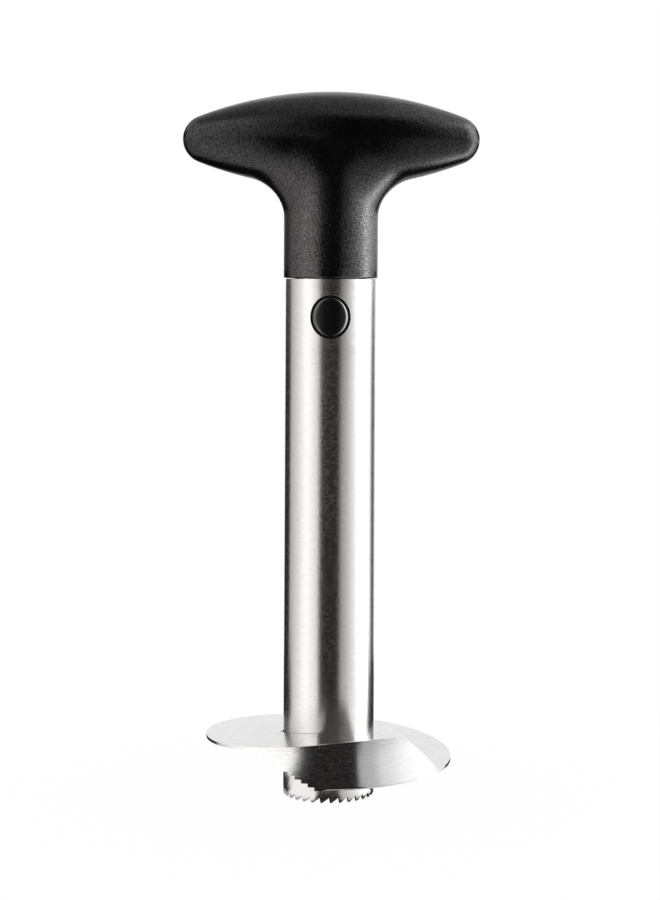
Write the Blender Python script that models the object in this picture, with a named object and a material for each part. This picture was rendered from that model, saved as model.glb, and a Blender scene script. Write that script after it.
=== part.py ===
"""Hand pineapple slicer: a saw-toothed core tube with a spiral blade, and a lift-off T handle.

Lengths are in metres, +Z is up and the tooth tips stand on z = 0. The handle's bar lies along X.
Angles round the tube are counted from the front (-Y) towards the right (+X).
"""
import math

import bmesh
import bpy
from mathutils import Vector

# Gaps between pieces
GAP = 0.0003
CUT_OVERRUN = 0.002
WELD_DISTANCE = 0.000001

# Core tube and its teeth
TUBE_RADIUS = 0.0157
TUBE_WALL = 0.0008
TOOTH_COUNT = 30
TOOTH_HEIGHT = 0.0021
TOOTH_FACE_SHARE = 0.14
TOOTH_TURN = math.radians(2.6)

# Spiral blade, stamped from one sheet that is slit at the front
BLADE_RADIUS = 0.0425
SHEET = 0.0010
BLADE_LEAD_HEIGHT = 0.01255
BLADE_DROP = 0.01405
SLIT_OFFSET = 0.0027
SLIT_WIDTH = 0.0007
BEVEL_LENGTH = 0.0032
EDGE_THICKNESS = 0.0003
RELIEF_RADIUS = 0.0009
RELIEF_ANGLE = math.radians(-82)
RELIEF_STEPS = 6
BLADE_STEPS = 64
# Each row holds the share of the turn, then the height shares at the rim and at the tube
BLADE_HEIGHT_SHARES = (
    (0.000, 1.000, 0.840),
    (0.072, 0.840, 0.785),
    (0.167, 0.680, 0.690),
    (0.290, 0.585, 0.590),
    (0.412, 0.468, 0.470),
    (0.557, 0.308, 0.310),
    (0.694, 0.145, 0.147),
    (0.822, 0.048, 0.048),
    (1.000, 0.000, 0.000),
)
BLADE_RADIAL_SHARES = (0.0, 0.33, 0.67, 1.0)

# Outer cutting wall, folded up from the lower end of the sheet
WALL_ARCH = 0.00126
WALL_ARCH_ANGLE = math.radians(28)
WALL_BACK_TOP_ANGLE = math.radians(36)
WALL_BACK_FOOT_ANGLE = math.radians(61)
WALL_LEAD_ANGLE = math.radians(-33)
WALL_CORNER_SOFTNESS = 0.0016
WALL_CORNER_SPAN = math.radians(3)
WALL_SAW_STEPS = 10
WALL_UNDERCLEARANCE = 0.0004
WALL_COLUMN_STEPS = (5, 6, 10, 2)

# Stitch welds under the blade
WELD_ANGLES = (math.radians(-100), math.radians(-180), math.radians(-260))
WELD_SPAN = math.radians(26)
WELD_LEG = 0.0016
WELD_STEPS = 6

# T handle: a bar turned about X on a round neck
NECK_BASE = 0.1795
NECK_RADIUS = 0.0164
NECK_STRAIGHT = 0.0205
BAR_HEIGHT = 0.2278
BAR_RADIUS = 0.0167
BAR_ARC_RADIUS = 0.1270
BAR_HALF_LENGTH = 0.05175
NECK_FILLET = 0.0115
CHEEK_FILLET = 0.0020
GRIP_THICKNESS = 0.0024
BAR_SIDES = 32
PATCH_HALF_LENGTH = 0.026
PATCH_RINGS = 5
BAR_END_RINGS = 8
CORE_CAVITY_DEPTH = 0.026

# Plug that carries the handle in the tube
PLUG_CLEARANCE = 0.0003
PLUG_LENGTH = 0.0262
SPIGOT_RADIUS = 0.0060
SPIGOT_LENGTH = 0.0120
CHAMBER_HALF_DEPTH = 0.0093
END_CAP_THICKNESS = 0.0032
WEB_THICKNESS = 0.0020
WEB_WIDTH = 0.0110
SPRING_POST_RADIUS = 0.0027
SPRING_POST_LENGTH = 0.0012
ROUND_SIDES = 48
HOLE_SIDES = 16
BORE_SIDES = 24

# Release buttons, one at the front and one at the rear
BUTTON_HEIGHT = 0.1661
BUTTON_HALF_WIDTH = 0.0063
BUTTON_HALF_TALL = 0.00695
BUTTON_EDGE = 0.0006
BUTTON_TRAVEL = 0.0030
HOLE_CLEARANCE = 0.0006
FLANGE_RIM = 0.0010
FLANGE_THICKNESS = 0.0012
SKIRT_RADIUS = 0.0060
POCKET_RADIUS = 0.0046
BUTTON_CROWN = 0.0017
BUTTON_SIDES = 32
BUTTON_FACE_SHARES = (0.5, 0.82)

# Button springs
SPRING_RADIUS = 0.0040
WIRE_RADIUS = 0.0004
SPRING_TURNS = 6
SPRING_POINTS_PER_TURN = 9

# Long screws that hold the plug and its end cap to the handle core
SCREW_OFFSET = 0.0110
SCREW_RADIUS = 0.0015
SCREW_LENGTH = 0.0430
SCREW_HEAD_RADIUS = 0.0023
SCREW_HEAD_HEIGHT = 0.0017
SCREW_POINT = 0.0015
SCREW_HOLE_TAIL = 0.0010
SOCKET_RADIUS = 0.0012
SOCKET_DEPTH = 0.0010
SCREW_SIDES = 18

# Heights and radii that follow from the sizes above
TUBE_BORE = TUBE_RADIUS - TUBE_WALL
TUBE_TOP = NECK_BASE - GAP
PLUG_RADIUS = TUBE_BORE - PLUG_CLEARANCE
PLUG_TOP = NECK_BASE - GAP
PLUG_BOTTOM = PLUG_TOP - PLUG_LENGTH
CAP_TOP = PLUG_BOTTOM - GAP
CAP_BOTTOM = CAP_TOP - END_CAP_THICKNESS
FLANGE_HALF_WIDTH = BUTTON_HALF_WIDTH + FLANGE_RIM
FLANGE_HALF_TALL = BUTTON_HALF_TALL + FLANGE_RIM
CHAMBER_HALF_WIDTH = FLANGE_HALF_WIDTH + GAP
CHAMBER_TOP = BUTTON_HEIGHT + FLANGE_HALF_TALL + GAP
SCREW_HOLE_RADIUS = SCREW_RADIUS + GAP
COUNTERBORE_RADIUS = SCREW_HEAD_RADIUS + GAP
COUNTERBORE_DEPTH = SCREW_HEAD_HEIGHT + GAP
HUB_RADIUS = TUBE_RADIUS + GAP
WALL_INNER_RADIUS = BLADE_RADIUS - SHEET


def clear_scene():
    for item in list(bpy.data.objects):
        bpy.data.objects.remove(item, do_unlink=True)


def make_material(name, colour, roughness, metallic):
    material = bpy.data.materials.new(name)
    material.use_nodes = True
    shader = material.node_tree.nodes["Principled BSDF"]
    shader.inputs["Base Color"].default_value = (*colour, 1.0)
    shader.inputs["Roughness"].default_value = roughness
    shader.inputs["Metallic"].default_value = metallic
    material.diffuse_color = (*colour, 1.0)
    return material


def add_object(name, bm, material=None, crease=math.radians(35)):
    """Turn a bmesh into a linked object with outward faces and smooth round sides."""
    bmesh.ops.recalc_face_normals(bm, faces=bm.faces)
    mesh = bpy.data.meshes.new(name)
    bm.to_mesh(mesh)
    bm.free()
    mesh.shade_smooth()
    mesh.set_sharp_from_angle(angle=crease)
    item = bpy.data.objects.new(name, mesh)
    bpy.context.collection.objects.link(item)
    if material is not None:
        mesh.materials.append(material)
    return item


def bridge_rings(bm, lower, upper):
    count = len(lower)
    for i in range(count):
        j = (i + 1) % count
        bm.faces.new((lower[i], lower[j], upper[j], upper[i]))


def loft_rings(bm, rings, cap_ends=True):
    """Join rings of points into a skin and close its two ends."""
    loops = [[bm.verts.new(point) for point in ring] for ring in rings]
    for lower, upper in zip(loops, loops[1:]):
        bridge_rings(bm, lower, upper)
    if cap_ends:
        bm.faces.new(list(reversed(loops[0])))
        bm.faces.new(loops[-1])
    return loops


def circle_ring(radius, height, sides, x=0.0):
    ring = []
    for i in range(sides):
        angle = 2 * math.pi * i / sides
        ring.append((x + radius * math.cos(angle), radius * math.sin(angle), height))
    return ring


def oval_ring(half_width, half_tall, depth_at, sides):
    """An oval round the button's axis; depth_at gives the distance out from the tube's axis."""
    ring = []
    for i in range(sides):
        angle = 2 * math.pi * i / sides
        x = half_width * math.cos(angle)
        ring.append((x, -depth_at(x), BUTTON_HEIGHT + half_tall * math.sin(angle)))
    return ring


def round_cutter(name, radius, low, high, x=0.0, sides=BORE_SIDES):
    bm = bmesh.new()
    loft_rings(bm, [circle_ring(radius, low, sides, x), circle_ring(radius, high, sides, x)])
    return hide_guide(add_object(name, bm))


def oval_cutter(name, half_width, half_tall, reach):
    """A straight oval bar along Y through both button places."""
    bm = bmesh.new()
    near = oval_ring(half_width, half_tall, lambda x: reach, BUTTON_SIDES)
    far = oval_ring(half_width, half_tall, lambda x: -reach, BUTTON_SIDES)
    loft_rings(bm, [near, far])
    return hide_guide(add_object(name, bm))


def box_object(name, half_x, half_y, low, high):
    bm = bmesh.new()
    corners = ((half_x, half_y), (-half_x, half_y), (-half_x, -half_y), (half_x, -half_y))
    loft_rings(bm, [[(x, y, low) for x, y in corners], [(x, y, high) for x, y in corners]])
    return hide_guide(add_object(name, bm))


def hide_guide(item):
    item.hide_render = True
    item.display_type = 'WIRE'
    return item


def combine(target, other, operation):
    """Add or cut one solid and keep the result in the target's own mesh."""
    modifier = target.modifiers.new(operation.lower(), 'BOOLEAN')
    modifier.operation = operation
    modifier.solver = 'EXACT'
    modifier.object = other
    depsgraph = bpy.context.evaluated_depsgraph_get()
    result = bpy.data.meshes.new_from_object(target.evaluated_get(depsgraph))
    target.modifiers.clear()
    target.data = result
    bpy.data.objects.remove(other, do_unlink=True)
    result.set_sharp_from_angle(angle=math.radians(35))


def polar(angle, radius, height):
    """A point at an angle from the front, positive towards the right."""
    return (radius * math.sin(angle), -radius * math.cos(angle), height)


def upright_sheet(bm, columns, inner, outer, joint_height=None):
    """A curved upright sheet. Each column is (angle, low_before, low_after, top_before, top_after).

    It closes into a ring, unless a joint height is given. Then its last column is left open, with
    a corner at that height too, to be welded to the sheet that it stands on.
    """
    closed = joint_height is None
    count = len(columns)
    faces_at = []
    for i, (angle, low_before, low_after, top_before, top_after) in enumerate(columns):
        heights = {low_before, low_after, top_before, top_after}
        if not closed and i == count - 1:
            heights.add(joint_height)
        heights = sorted(heights)
        outside = {z: bm.verts.new(polar(angle, outer, z)) for z in heights}
        inside = {z: bm.verts.new(polar(angle, inner, z)) for z in heights}
        faces_at.append((heights, outside, inside))
    last = count if closed else count - 1
    for i in range(last):
        j = (i + 1) % count
        left_low, left_top = columns[i][2], columns[i][4]
        right_low, right_top = columns[j][1], columns[j][3]
        left = [z for z in faces_at[i][0] if left_low <= z <= left_top]
        right = [z for z in faces_at[j][0] if right_low <= z <= right_top]
        for side in (1, 2):
            rim = [faces_at[i][side][z] for z in left]
            rim += [faces_at[j][side][z] for z in reversed(right)]
            bm.faces.new(rim)
        for z_left, z_right in ((left_low, right_low), (left_top, right_top)):
            bm.faces.new((faces_at[i][1][z_left], faces_at[j][1][z_right],
                          faces_at[j][2][z_right], faces_at[i][2][z_left]))
    for i, (angle, low_before, low_after, top_before, top_after) in enumerate(columns):
        heights, outside, inside = faces_at[i]
        spans_before = (low_before, top_before)
        spans_after = (low_after, top_after)
        if not closed and i == 0:
            spans_before = (low_after, low_after)
        if not closed and i == count - 1:
            spans_after = spans_before
        for low, high in zip(heights, heights[1:]):
            in_before = spans_before[0] <= low and high <= spans_before[1]
            in_after = spans_after[0] <= low and high <= spans_after[1]
            if in_before != in_after:
                bm.faces.new((outside[low], outside[high], inside[high], inside[low]))


def build_core_tube(material):
    """The plain tube: saw teeth round its foot and an oval hole for each button.

    The first tooth's tip stands a small turn to the right of the front.
    """
    pitch = 2 * math.pi / TOOTH_COUNT
    columns = []
    for i in range(TOOTH_COUNT):
        tip = TOOTH_TURN + i * pitch
        root = tip + (1 - TOOTH_FACE_SHARE) * pitch
        columns.append((tip, 0.0, 0.0, TUBE_TOP, TUBE_TOP))
        columns.append((root, TOOTH_HEIGHT, TOOTH_HEIGHT, TUBE_TOP, TUBE_TOP))
    bm = bmesh.new()
    upright_sheet(bm, columns, TUBE_BORE, TUBE_RADIUS)
    tube = add_object("core_tube", bm, material)
    hole = oval_cutter("button_holes", BUTTON_HALF_WIDTH + HOLE_CLEARANCE,
                       BUTTON_HALF_TALL + HOLE_CLEARANCE, TUBE_RADIUS + CUT_OVERRUN)
    combine(tube, hole, 'DIFFERENCE')
    return tube


def height_share(share, column):
    """Smooth curve through the blade's height shares (Catmull-Rom between the rows)."""
    rows = BLADE_HEIGHT_SHARES
    last = len(rows) - 1
    k = 0
    while k < last - 1 and share > rows[k + 1][0]:
        k += 1
    before, after = max(k - 1, 0), min(k + 2, last)
    start, end = rows[k], rows[k + 1]
    width = end[0] - start[0]
    slope_in = (end[column] - rows[before][column]) / (end[0] - rows[before][0])
    slope_out = (rows[after][column] - start[column]) / (rows[after][0] - start[0])
    t = min(max((share - start[0]) / width, 0.0), 1.0)
    rise = (2 * t**3 - 3 * t**2 + 1) * start[column] + (3 * t**2 - 2 * t**3) * end[column]
    bend = (t**3 - 2 * t**2 + t) * slope_in * width + (t**3 - t**2) * slope_out * width
    return rise + bend


def blade_angle(share, radius):
    """Angle along the turn, from the slit's upper side (share 0) to its lower side (share 1)."""
    start = -math.asin((SLIT_OFFSET + SLIT_WIDTH / 2) / radius)
    end = -2 * math.pi - math.asin((SLIT_OFFSET - SLIT_WIDTH / 2) / radius)
    return start + share * (end - start)


def blade_share(angle):
    """Share of the turn at an angle on the rim of the lower end (0 is the front)."""
    start = blade_angle(0, BLADE_RADIUS)
    end = blade_angle(1, BLADE_RADIUS)
    return (angle - 2 * math.pi - start) / (end - start)


def blade_top(share, radius):
    across = (radius - HUB_RADIUS) / (BLADE_RADIUS - HUB_RADIUS)
    hub = height_share(share, 2)
    rim = height_share(share, 1)
    return BLADE_LEAD_HEIGHT + BLADE_DROP * (hub + (rim - hub) * across)


def sheet_thickness(share, radius):
    """Full sheet, ground thin towards the leading edge."""
    distance = (1 - share) * 2 * math.pi * radius
    ground = min(distance / BEVEL_LENGTH, 1.0)
    return EDGE_THICKNESS + (SHEET - EDGE_THICKNESS) * ground


def blade_hub(angle):
    """Radius of the sheet's inner edge, which has one small round relief notch."""
    along = HUB_RADIUS * (angle - RELIEF_ANGLE)
    return HUB_RADIUS + math.sqrt(max(RELIEF_RADIUS**2 - along**2, 0.0))


def blade_stations():
    """Shares of the turn at which the sheet is drawn, closer together where its edges bend."""
    hub_start = blade_angle(0, HUB_RADIUS)
    hub_turn = blade_angle(1, HUB_RADIUS) - hub_start
    wall_share = blade_share(WALL_BACK_FOOT_ANGLE)
    shares = []
    for i in range(BLADE_STEPS):
        share = wall_share * i / BLADE_STEPS
        if blade_hub(hub_start + share * hub_turn) == HUB_RADIUS:
            shares.append(share)
    for i in range(RELIEF_STEPS + 1):
        along = RELIEF_RADIUS * math.cos(math.pi * i / RELIEF_STEPS)
        shares.append((RELIEF_ANGLE + along / HUB_RADIUS - hub_start) / hub_turn)
    marks = (WALL_BACK_FOOT_ANGLE, WALL_BACK_TOP_ANGLE + WALL_CORNER_SPAN,
             WALL_BACK_TOP_ANGLE - WALL_CORNER_SPAN, wall_tip_angle() + BEVEL_LENGTH / BLADE_RADIUS)
    for mark, following, steps in zip(marks, marks[1:] + (wall_tip_angle(),), WALL_COLUMN_STEPS):
        for i in range(steps):
            shares.append(blade_share(mark + (following - mark) * i / steps))
    shares.append(1.0)
    return sorted(shares)


def wall_tip_angle():
    """Angle of the sheet's leading edge at its rim."""
    return blade_angle(1, BLADE_RADIUS) + 2 * math.pi


def wall_top(angle):
    """Top of the wall: a low arch, then a straight slope down to the sheet, with a soft corner."""
    start_angle = blade_angle(0, BLADE_RADIUS)
    start_height = blade_top(0, BLADE_RADIUS)

    def arch(place):
        swing = math.pi / 2 * (place - start_angle) / WALL_ARCH_ANGLE
        return start_height + WALL_ARCH * math.sin(swing)

    corner = arch(WALL_BACK_TOP_ANGLE)
    foot = blade_top(blade_share(WALL_BACK_FOOT_ANGLE), BLADE_RADIUS)
    part = (angle - WALL_BACK_TOP_ANGLE) / (WALL_BACK_FOOT_ANGLE - WALL_BACK_TOP_ANGLE)
    slope = corner + (foot - corner) * part
    near = max(WALL_CORNER_SOFTNESS - abs(arch(angle) - slope), 0.0)
    return min(arch(angle), slope) - near**2 / (4 * WALL_CORNER_SOFTNESS)


def blade_section(bm, share):
    """Corners across the sheet: top side from the tube outwards, wall or rim, then the underside."""
    rim_angle = blade_angle(share, BLADE_RADIUS)
    hub = blade_hub(blade_angle(share, HUB_RADIUS))
    top = []
    under = []
    for across in BLADE_RADIAL_SHARES:
        radius = hub + across * (WALL_INNER_RADIUS - hub)
        angle = blade_angle(share, radius)
        thickness = sheet_thickness(share, radius)
        if across == 1:
            angle = rim_angle
            thickness = SHEET
        height = blade_top(share, radius)
        top.append(bm.verts.new(polar(angle, radius, height)))
        under.append(bm.verts.new(polar(angle, radius, height - thickness)))
    rim = blade_top(share, BLADE_RADIUS)
    side = bm.verts.new(polar(rim_angle, BLADE_RADIUS, rim))
    foot = bm.verts.new(polar(rim_angle, BLADE_RADIUS, rim - SHEET))
    wall = [top[-1], side]
    if share > blade_share(WALL_BACK_FOOT_ANGLE) + WELD_DISTANCE:
        height = wall_top(rim_angle + 2 * math.pi)
        wall = [bm.verts.new(polar(rim_angle, radius, height))
                for radius in (WALL_INNER_RADIUS, BLADE_RADIUS)]
    return top, wall + [side, foot], list(reversed(under))


def distinct(corners):
    return list(dict.fromkeys(corners))


def saw_columns():
    """The wall ahead of the sheet's leading edge: it passes under the upper end and is sawn in steps."""
    trail_angle = blade_angle(0, BLADE_RADIUS)
    turn = blade_angle(1, BLADE_RADIUS) - trail_angle
    foot = blade_top(1, BLADE_RADIUS) - SHEET

    def under_sheet(angle):
        return blade_top((angle - trail_angle) / turn, BLADE_RADIUS) - SHEET - WALL_UNDERCLEARANCE

    lead_height = under_sheet(WALL_LEAD_ANGLE)
    step_angle = (wall_tip_angle() - WALL_LEAD_ANGLE) / WALL_SAW_STEPS
    step_height = (lead_height - foot) / WALL_SAW_STEPS
    columns = []
    for i in range(WALL_SAW_STEPS):
        angle = WALL_LEAD_ANGLE + i * step_angle
        before = lead_height - i * step_height
        after = foot if i == WALL_SAW_STEPS - 1 else before - step_height
        columns.append((angle, before, after, under_sheet(angle), under_sheet(angle)))
    rise_angle = -math.asin((SLIT_OFFSET - SLIT_WIDTH / 2 + GAP) / BLADE_RADIUS)
    columns.append((rise_angle, foot, foot, under_sheet(rise_angle), wall_top(rise_angle)))
    tip = wall_top(wall_tip_angle())
    columns.append((wall_tip_angle(), foot, foot, tip, tip))
    return columns


def build_spiral_blade(material):
    """One sheet: a turn round the tube, with its rim folded up into a wall at the lower end."""
    bm = bmesh.new()
    sections = [blade_section(bm, share) for share in blade_stations()]
    for first, second in zip(sections, sections[1:]):
        first = first[0] + first[1] + first[2]
        second = second[0] + second[1] + second[2]
        for i in range(len(first)):
            j = (i + 1) % len(first)
            corners = distinct((first[i], first[j], second[j], second[i]))
            if len(corners) > 2:
                bm.faces.new(corners)
    top, wall, under = sections[0]
    bm.faces.new(distinct(top + wall + under))
    top, wall, under = sections[-1]
    bm.faces.new(top + under)
    upright_sheet(bm, saw_columns(), WALL_INNER_RADIUS, BLADE_RADIUS, blade_top(1, BLADE_RADIUS))
    bmesh.ops.remove_doubles(bm, verts=bm.verts, dist=WELD_DISTANCE)
    bmesh.ops.triangulate(bm, faces=bm.faces)
    return add_object("spiral_blade", bm, material)


def build_weld(name, centre_angle, material):
    """A short three-sided bead in the corner between the tube and the blade's underside."""
    bm = bmesh.new()
    sections = []
    start = blade_angle(0, HUB_RADIUS)
    turn = blade_angle(1, HUB_RADIUS) - start
    for i in range(WELD_STEPS + 1):
        angle = centre_angle + WELD_SPAN * (0.5 - i / WELD_STEPS)
        share = (angle - start) / turn
        inner = TUBE_RADIUS + GAP
        top = blade_top(share, inner) - SHEET - GAP
        sections.append([
            polar(angle, inner, top),
            polar(angle, inner, top - WELD_LEG),
            polar(angle, inner + WELD_LEG, top),
        ])
    loft_rings(bm, sections)
    return add_object(name, bm, material)


def bar_distance(point, inset):
    """Distance to the bar: a long arc turned about X, run tangent into two ball ends."""
    radius = BAR_RADIUS - inset
    arc = BAR_ARC_RADIUS - inset
    length = BAR_HALF_LENGTH - inset
    arc_drop = arc - radius
    ball = (arc**2 - arc_drop**2 - length**2) / (2 * (arc - length))
    ball_x = length - ball
    x = abs(point.x)
    off_axis = math.hypot(point.y, point.z - BAR_HEIGHT)
    if off_axis * ball_x < (x - ball_x) * arc_drop:
        return math.hypot(x - ball_x, off_axis) - ball
    return math.hypot(x, off_axis + arc_drop) - arc


def handle_distance(point, inset):
    """Bar and neck joined by a fillet that fades where the two run side by side."""
    bar = bar_distance(point, inset)
    out = math.hypot(point.x, point.y)
    rise = max(point.z - BAR_HEIGHT, 0.0)
    beside = out - (NECK_RADIUS - inset)
    neck = beside if rise == 0 else math.hypot(max(beside, 0.0), rise)
    off_axis = math.hypot(point.y, point.z - BAR_HEIGHT)
    alike = point.y**2 / max(off_axis * out, GAP**2)
    fillet = CHEEK_FILLET + (NECK_FILLET + inset - CHEEK_FILLET) * (1 - min(alike, 1.0))
    joined = math.hypot(max(fillet - bar, 0.0), max(fillet - neck, 0.0))
    return max(fillet, min(bar, neck)) - joined


def onto_handle(point, inset):
    """Slide a point along its ray from the bar's middle until it lies on the handle's surface."""
    centre = Vector((0.0, 0.0, BAR_HEIGHT))
    ray = (Vector(point) - centre).normalized()
    near, far = 0.0, 2 * BAR_HALF_LENGTH
    for _ in range(40):
        middle = (near + far) / 2
        if handle_distance(centre + ray * middle, inset) > 0:
            far = middle
        else:
            near = middle
    return centre + ray * near


def bar_point(x, angle, inset):
    """A point of the bar's own surface; the angle is counted from straight down to the front."""
    radius = BAR_RADIUS - inset
    arc = BAR_ARC_RADIUS - inset
    length = BAR_HALF_LENGTH - inset
    arc_drop = arc - radius
    ball = (arc**2 - arc_drop**2 - length**2) / (2 * (arc - length))
    ball_x = length - ball
    tangent_x = ball_x * arc / (arc - ball)
    if abs(x) > tangent_x:
        off_axis = math.sqrt(max(ball**2 - (abs(x) - ball_x)**2, 0.0))
    else:
        off_axis = math.sqrt(arc**2 - x**2) - arc_drop
    return Vector((x, -off_axis * math.sin(angle), BAR_HEIGHT - off_axis * math.cos(angle)))


def bar_stations(inset):
    """Places along the bar: even over the neck patch, closer together towards the ends."""
    quarter = BAR_SIDES // 4
    patch = PATCH_HALF_LENGTH
    middle = [patch * (2 * i / quarter - 1) for i in range(quarter + 1)]
    reach = BAR_HALF_LENGTH - inset - patch
    beyond = [patch + reach * math.sin(math.pi / 2 * i / BAR_END_RINGS) for i in range(1, BAR_END_RINGS)]
    return [-x for x in reversed(beyond)] + middle + beyond


def handle_surface(bm, inset, base):
    """The T shape at an inset from the outer skin. Returns the open ring at the neck's foot."""
    stations = bar_stations(inset)
    quarter = BAR_SIDES // 4
    half_patch = quarter // 2
    first = BAR_END_RINGS - 1
    last = first + quarter
    step = 2 * math.pi / BAR_SIDES
    grid = {}
    for i, x in enumerate(stations):
        for j in range(BAR_SIDES):
            around = j if j <= BAR_SIDES // 2 else j - BAR_SIDES
            if first < i < last and abs(around) < half_patch:
                continue
            point = onto_handle(bar_point(x, around * step, inset), inset)
            grid[i, around] = bm.verts.new(point)
    order = [j if j <= BAR_SIDES // 2 else j - BAR_SIDES for j in range(BAR_SIDES)]
    for i in range(len(stations) - 1):
        for j in range(BAR_SIDES):
            a, b = order[j], order[(j + 1) % BAR_SIDES]
            in_patch = first <= i < last and max(abs(a), abs(b)) <= half_patch
            if not in_patch:
                bm.faces.new((grid[i, a], grid[i + 1, a], grid[i + 1, b], grid[i, b]))
    for i, sign in ((0, -1), (len(stations) - 1, 1)):
        pole = bm.verts.new((sign * (BAR_HALF_LENGTH - inset), 0.0, BAR_HEIGHT))
        for j in range(BAR_SIDES):
            a, b = order[j], order[(j + 1) % BAR_SIDES]
            bm.faces.new((grid[i, a], grid[i, b], pole))
    loop = [(last, half_patch - k) for k in range(quarter)]
    loop += [(last - k, -half_patch) for k in range(quarter)]
    loop += [(first, k - half_patch) for k in range(quarter)]
    loop += [(first + k, half_patch) for k in range(quarter)]
    ring = [grid[key] for key in loop]
    starts = [vert.co.copy() for vert in ring]
    neck = NECK_RADIUS - inset
    angles = [k * step - math.pi / 4 for k in range(BAR_SIDES)]
    shoulder = NECK_BASE + NECK_STRAIGHT
    ends = [Vector((neck * math.cos(a), neck * math.sin(a), shoulder)) for a in angles]
    for i in range(1, PATCH_RINGS + 1):
        part = i / PATCH_RINGS
        points = [onto_handle(start.lerp(end, part), inset) for start, end in zip(starts, ends)]
        lower = [bm.verts.new(point) for point in points]
        bridge_rings(bm, lower, ring)
        ring = lower
    foot = [bm.verts.new((end.x, end.y, base)) for end in ends]
    bridge_rings(bm, foot, ring)
    return foot


def build_grip_skin(material):
    """Soft black outer skin, open at the foot of the neck."""
    bm = bmesh.new()
    outer = handle_surface(bm, 0.0, NECK_BASE)
    inner = handle_surface(bm, GRIP_THICKNESS, NECK_BASE)
    bridge_rings(bm, outer, inner)
    return add_object("grip_skin", bm, material, crease=math.radians(50))


def build_handle_core(material):
    """Rigid core inside the skin, with a blind middle bore and two screw holes."""
    bm = bmesh.new()
    foot = handle_surface(bm, GRIP_THICKNESS + GAP, NECK_BASE)
    bm.faces.new(foot)
    core = add_object("handle_core", bm, material, crease=math.radians(50))
    low = NECK_BASE - CUT_OVERRUN
    bore = round_cutter("core_bore", SPIGOT_RADIUS + GAP, low, NECK_BASE + CORE_CAVITY_DEPTH)
    combine(core, bore, 'DIFFERENCE')
    screw_end = CAP_BOTTOM + SCREW_HEAD_HEIGHT + SCREW_LENGTH + SCREW_HOLE_TAIL
    for side in (-1, 1):
        hole = round_cutter("core_hole", SCREW_HOLE_RADIUS, low, screw_end, side * SCREW_OFFSET, HOLE_SIDES)
        combine(core, hole, 'DIFFERENCE')
    return core


def build_coupling_plug(material):
    """Plug that fills the tube's top: a chamber for the buttons, a spigot and screw holes."""
    bm = bmesh.new()
    rings = [
        circle_ring(PLUG_RADIUS, PLUG_BOTTOM, ROUND_SIDES),
        circle_ring(PLUG_RADIUS, PLUG_TOP, ROUND_SIDES),
        circle_ring(SPIGOT_RADIUS, PLUG_TOP, ROUND_SIDES),
        circle_ring(SPIGOT_RADIUS, PLUG_TOP + SPIGOT_LENGTH, ROUND_SIDES),
    ]
    loft_rings(bm, rings)
    plug = add_object("coupling_plug", bm, material)
    low = PLUG_BOTTOM - CUT_OVERRUN
    chamber = box_object("chamber", CHAMBER_HALF_WIDTH, CHAMBER_HALF_DEPTH, low, CHAMBER_TOP)
    combine(plug, chamber, 'DIFFERENCE')
    guides = oval_cutter("button_guides", BUTTON_HALF_WIDTH + GAP, BUTTON_HALF_TALL + GAP,
                         PLUG_RADIUS + CUT_OVERRUN)
    combine(plug, guides, 'DIFFERENCE')
    for side in (-1, 1):
        hole = round_cutter("plug_hole", SCREW_HOLE_RADIUS, low, PLUG_TOP + CUT_OVERRUN,
                            side * SCREW_OFFSET, HOLE_SIDES)
        combine(plug, hole, 'DIFFERENCE')
    return plug


def build_plug_end_cap(material):
    """Cap under the plug; its upright web carries both springs on short posts."""
    bm = bmesh.new()
    loft_rings(bm, [circle_ring(PLUG_RADIUS, z, ROUND_SIDES) for z in (CAP_BOTTOM, CAP_TOP)])
    cap = add_object("plug_end_cap", bm, material)
    web_low = (CAP_BOTTOM + CAP_TOP) / 2
    web = box_object("web", WEB_WIDTH / 2, WEB_THICKNESS / 2, web_low, CHAMBER_TOP - GAP)
    combine(cap, web, 'UNION')
    reach = WEB_THICKNESS / 2 + SPRING_POST_LENGTH
    post = oval_cutter("spring_posts", SPRING_POST_RADIUS, SPRING_POST_RADIUS, reach)
    combine(cap, post, 'UNION')
    for side in (-1, 1):
        x = side * SCREW_OFFSET
        hole = round_cutter("cap_hole", SCREW_HOLE_RADIUS, CAP_BOTTOM - CUT_OVERRUN,
                            CAP_TOP + CUT_OVERRUN, x, HOLE_SIDES)
        combine(cap, hole, 'DIFFERENCE')
        seat = round_cutter("cap_seat", COUNTERBORE_RADIUS, CAP_BOTTOM - CUT_OVERRUN,
                            CAP_BOTTOM + COUNTERBORE_DEPTH, x, HOLE_SIDES)
        combine(cap, seat, 'DIFFERENCE')
    return cap


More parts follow.
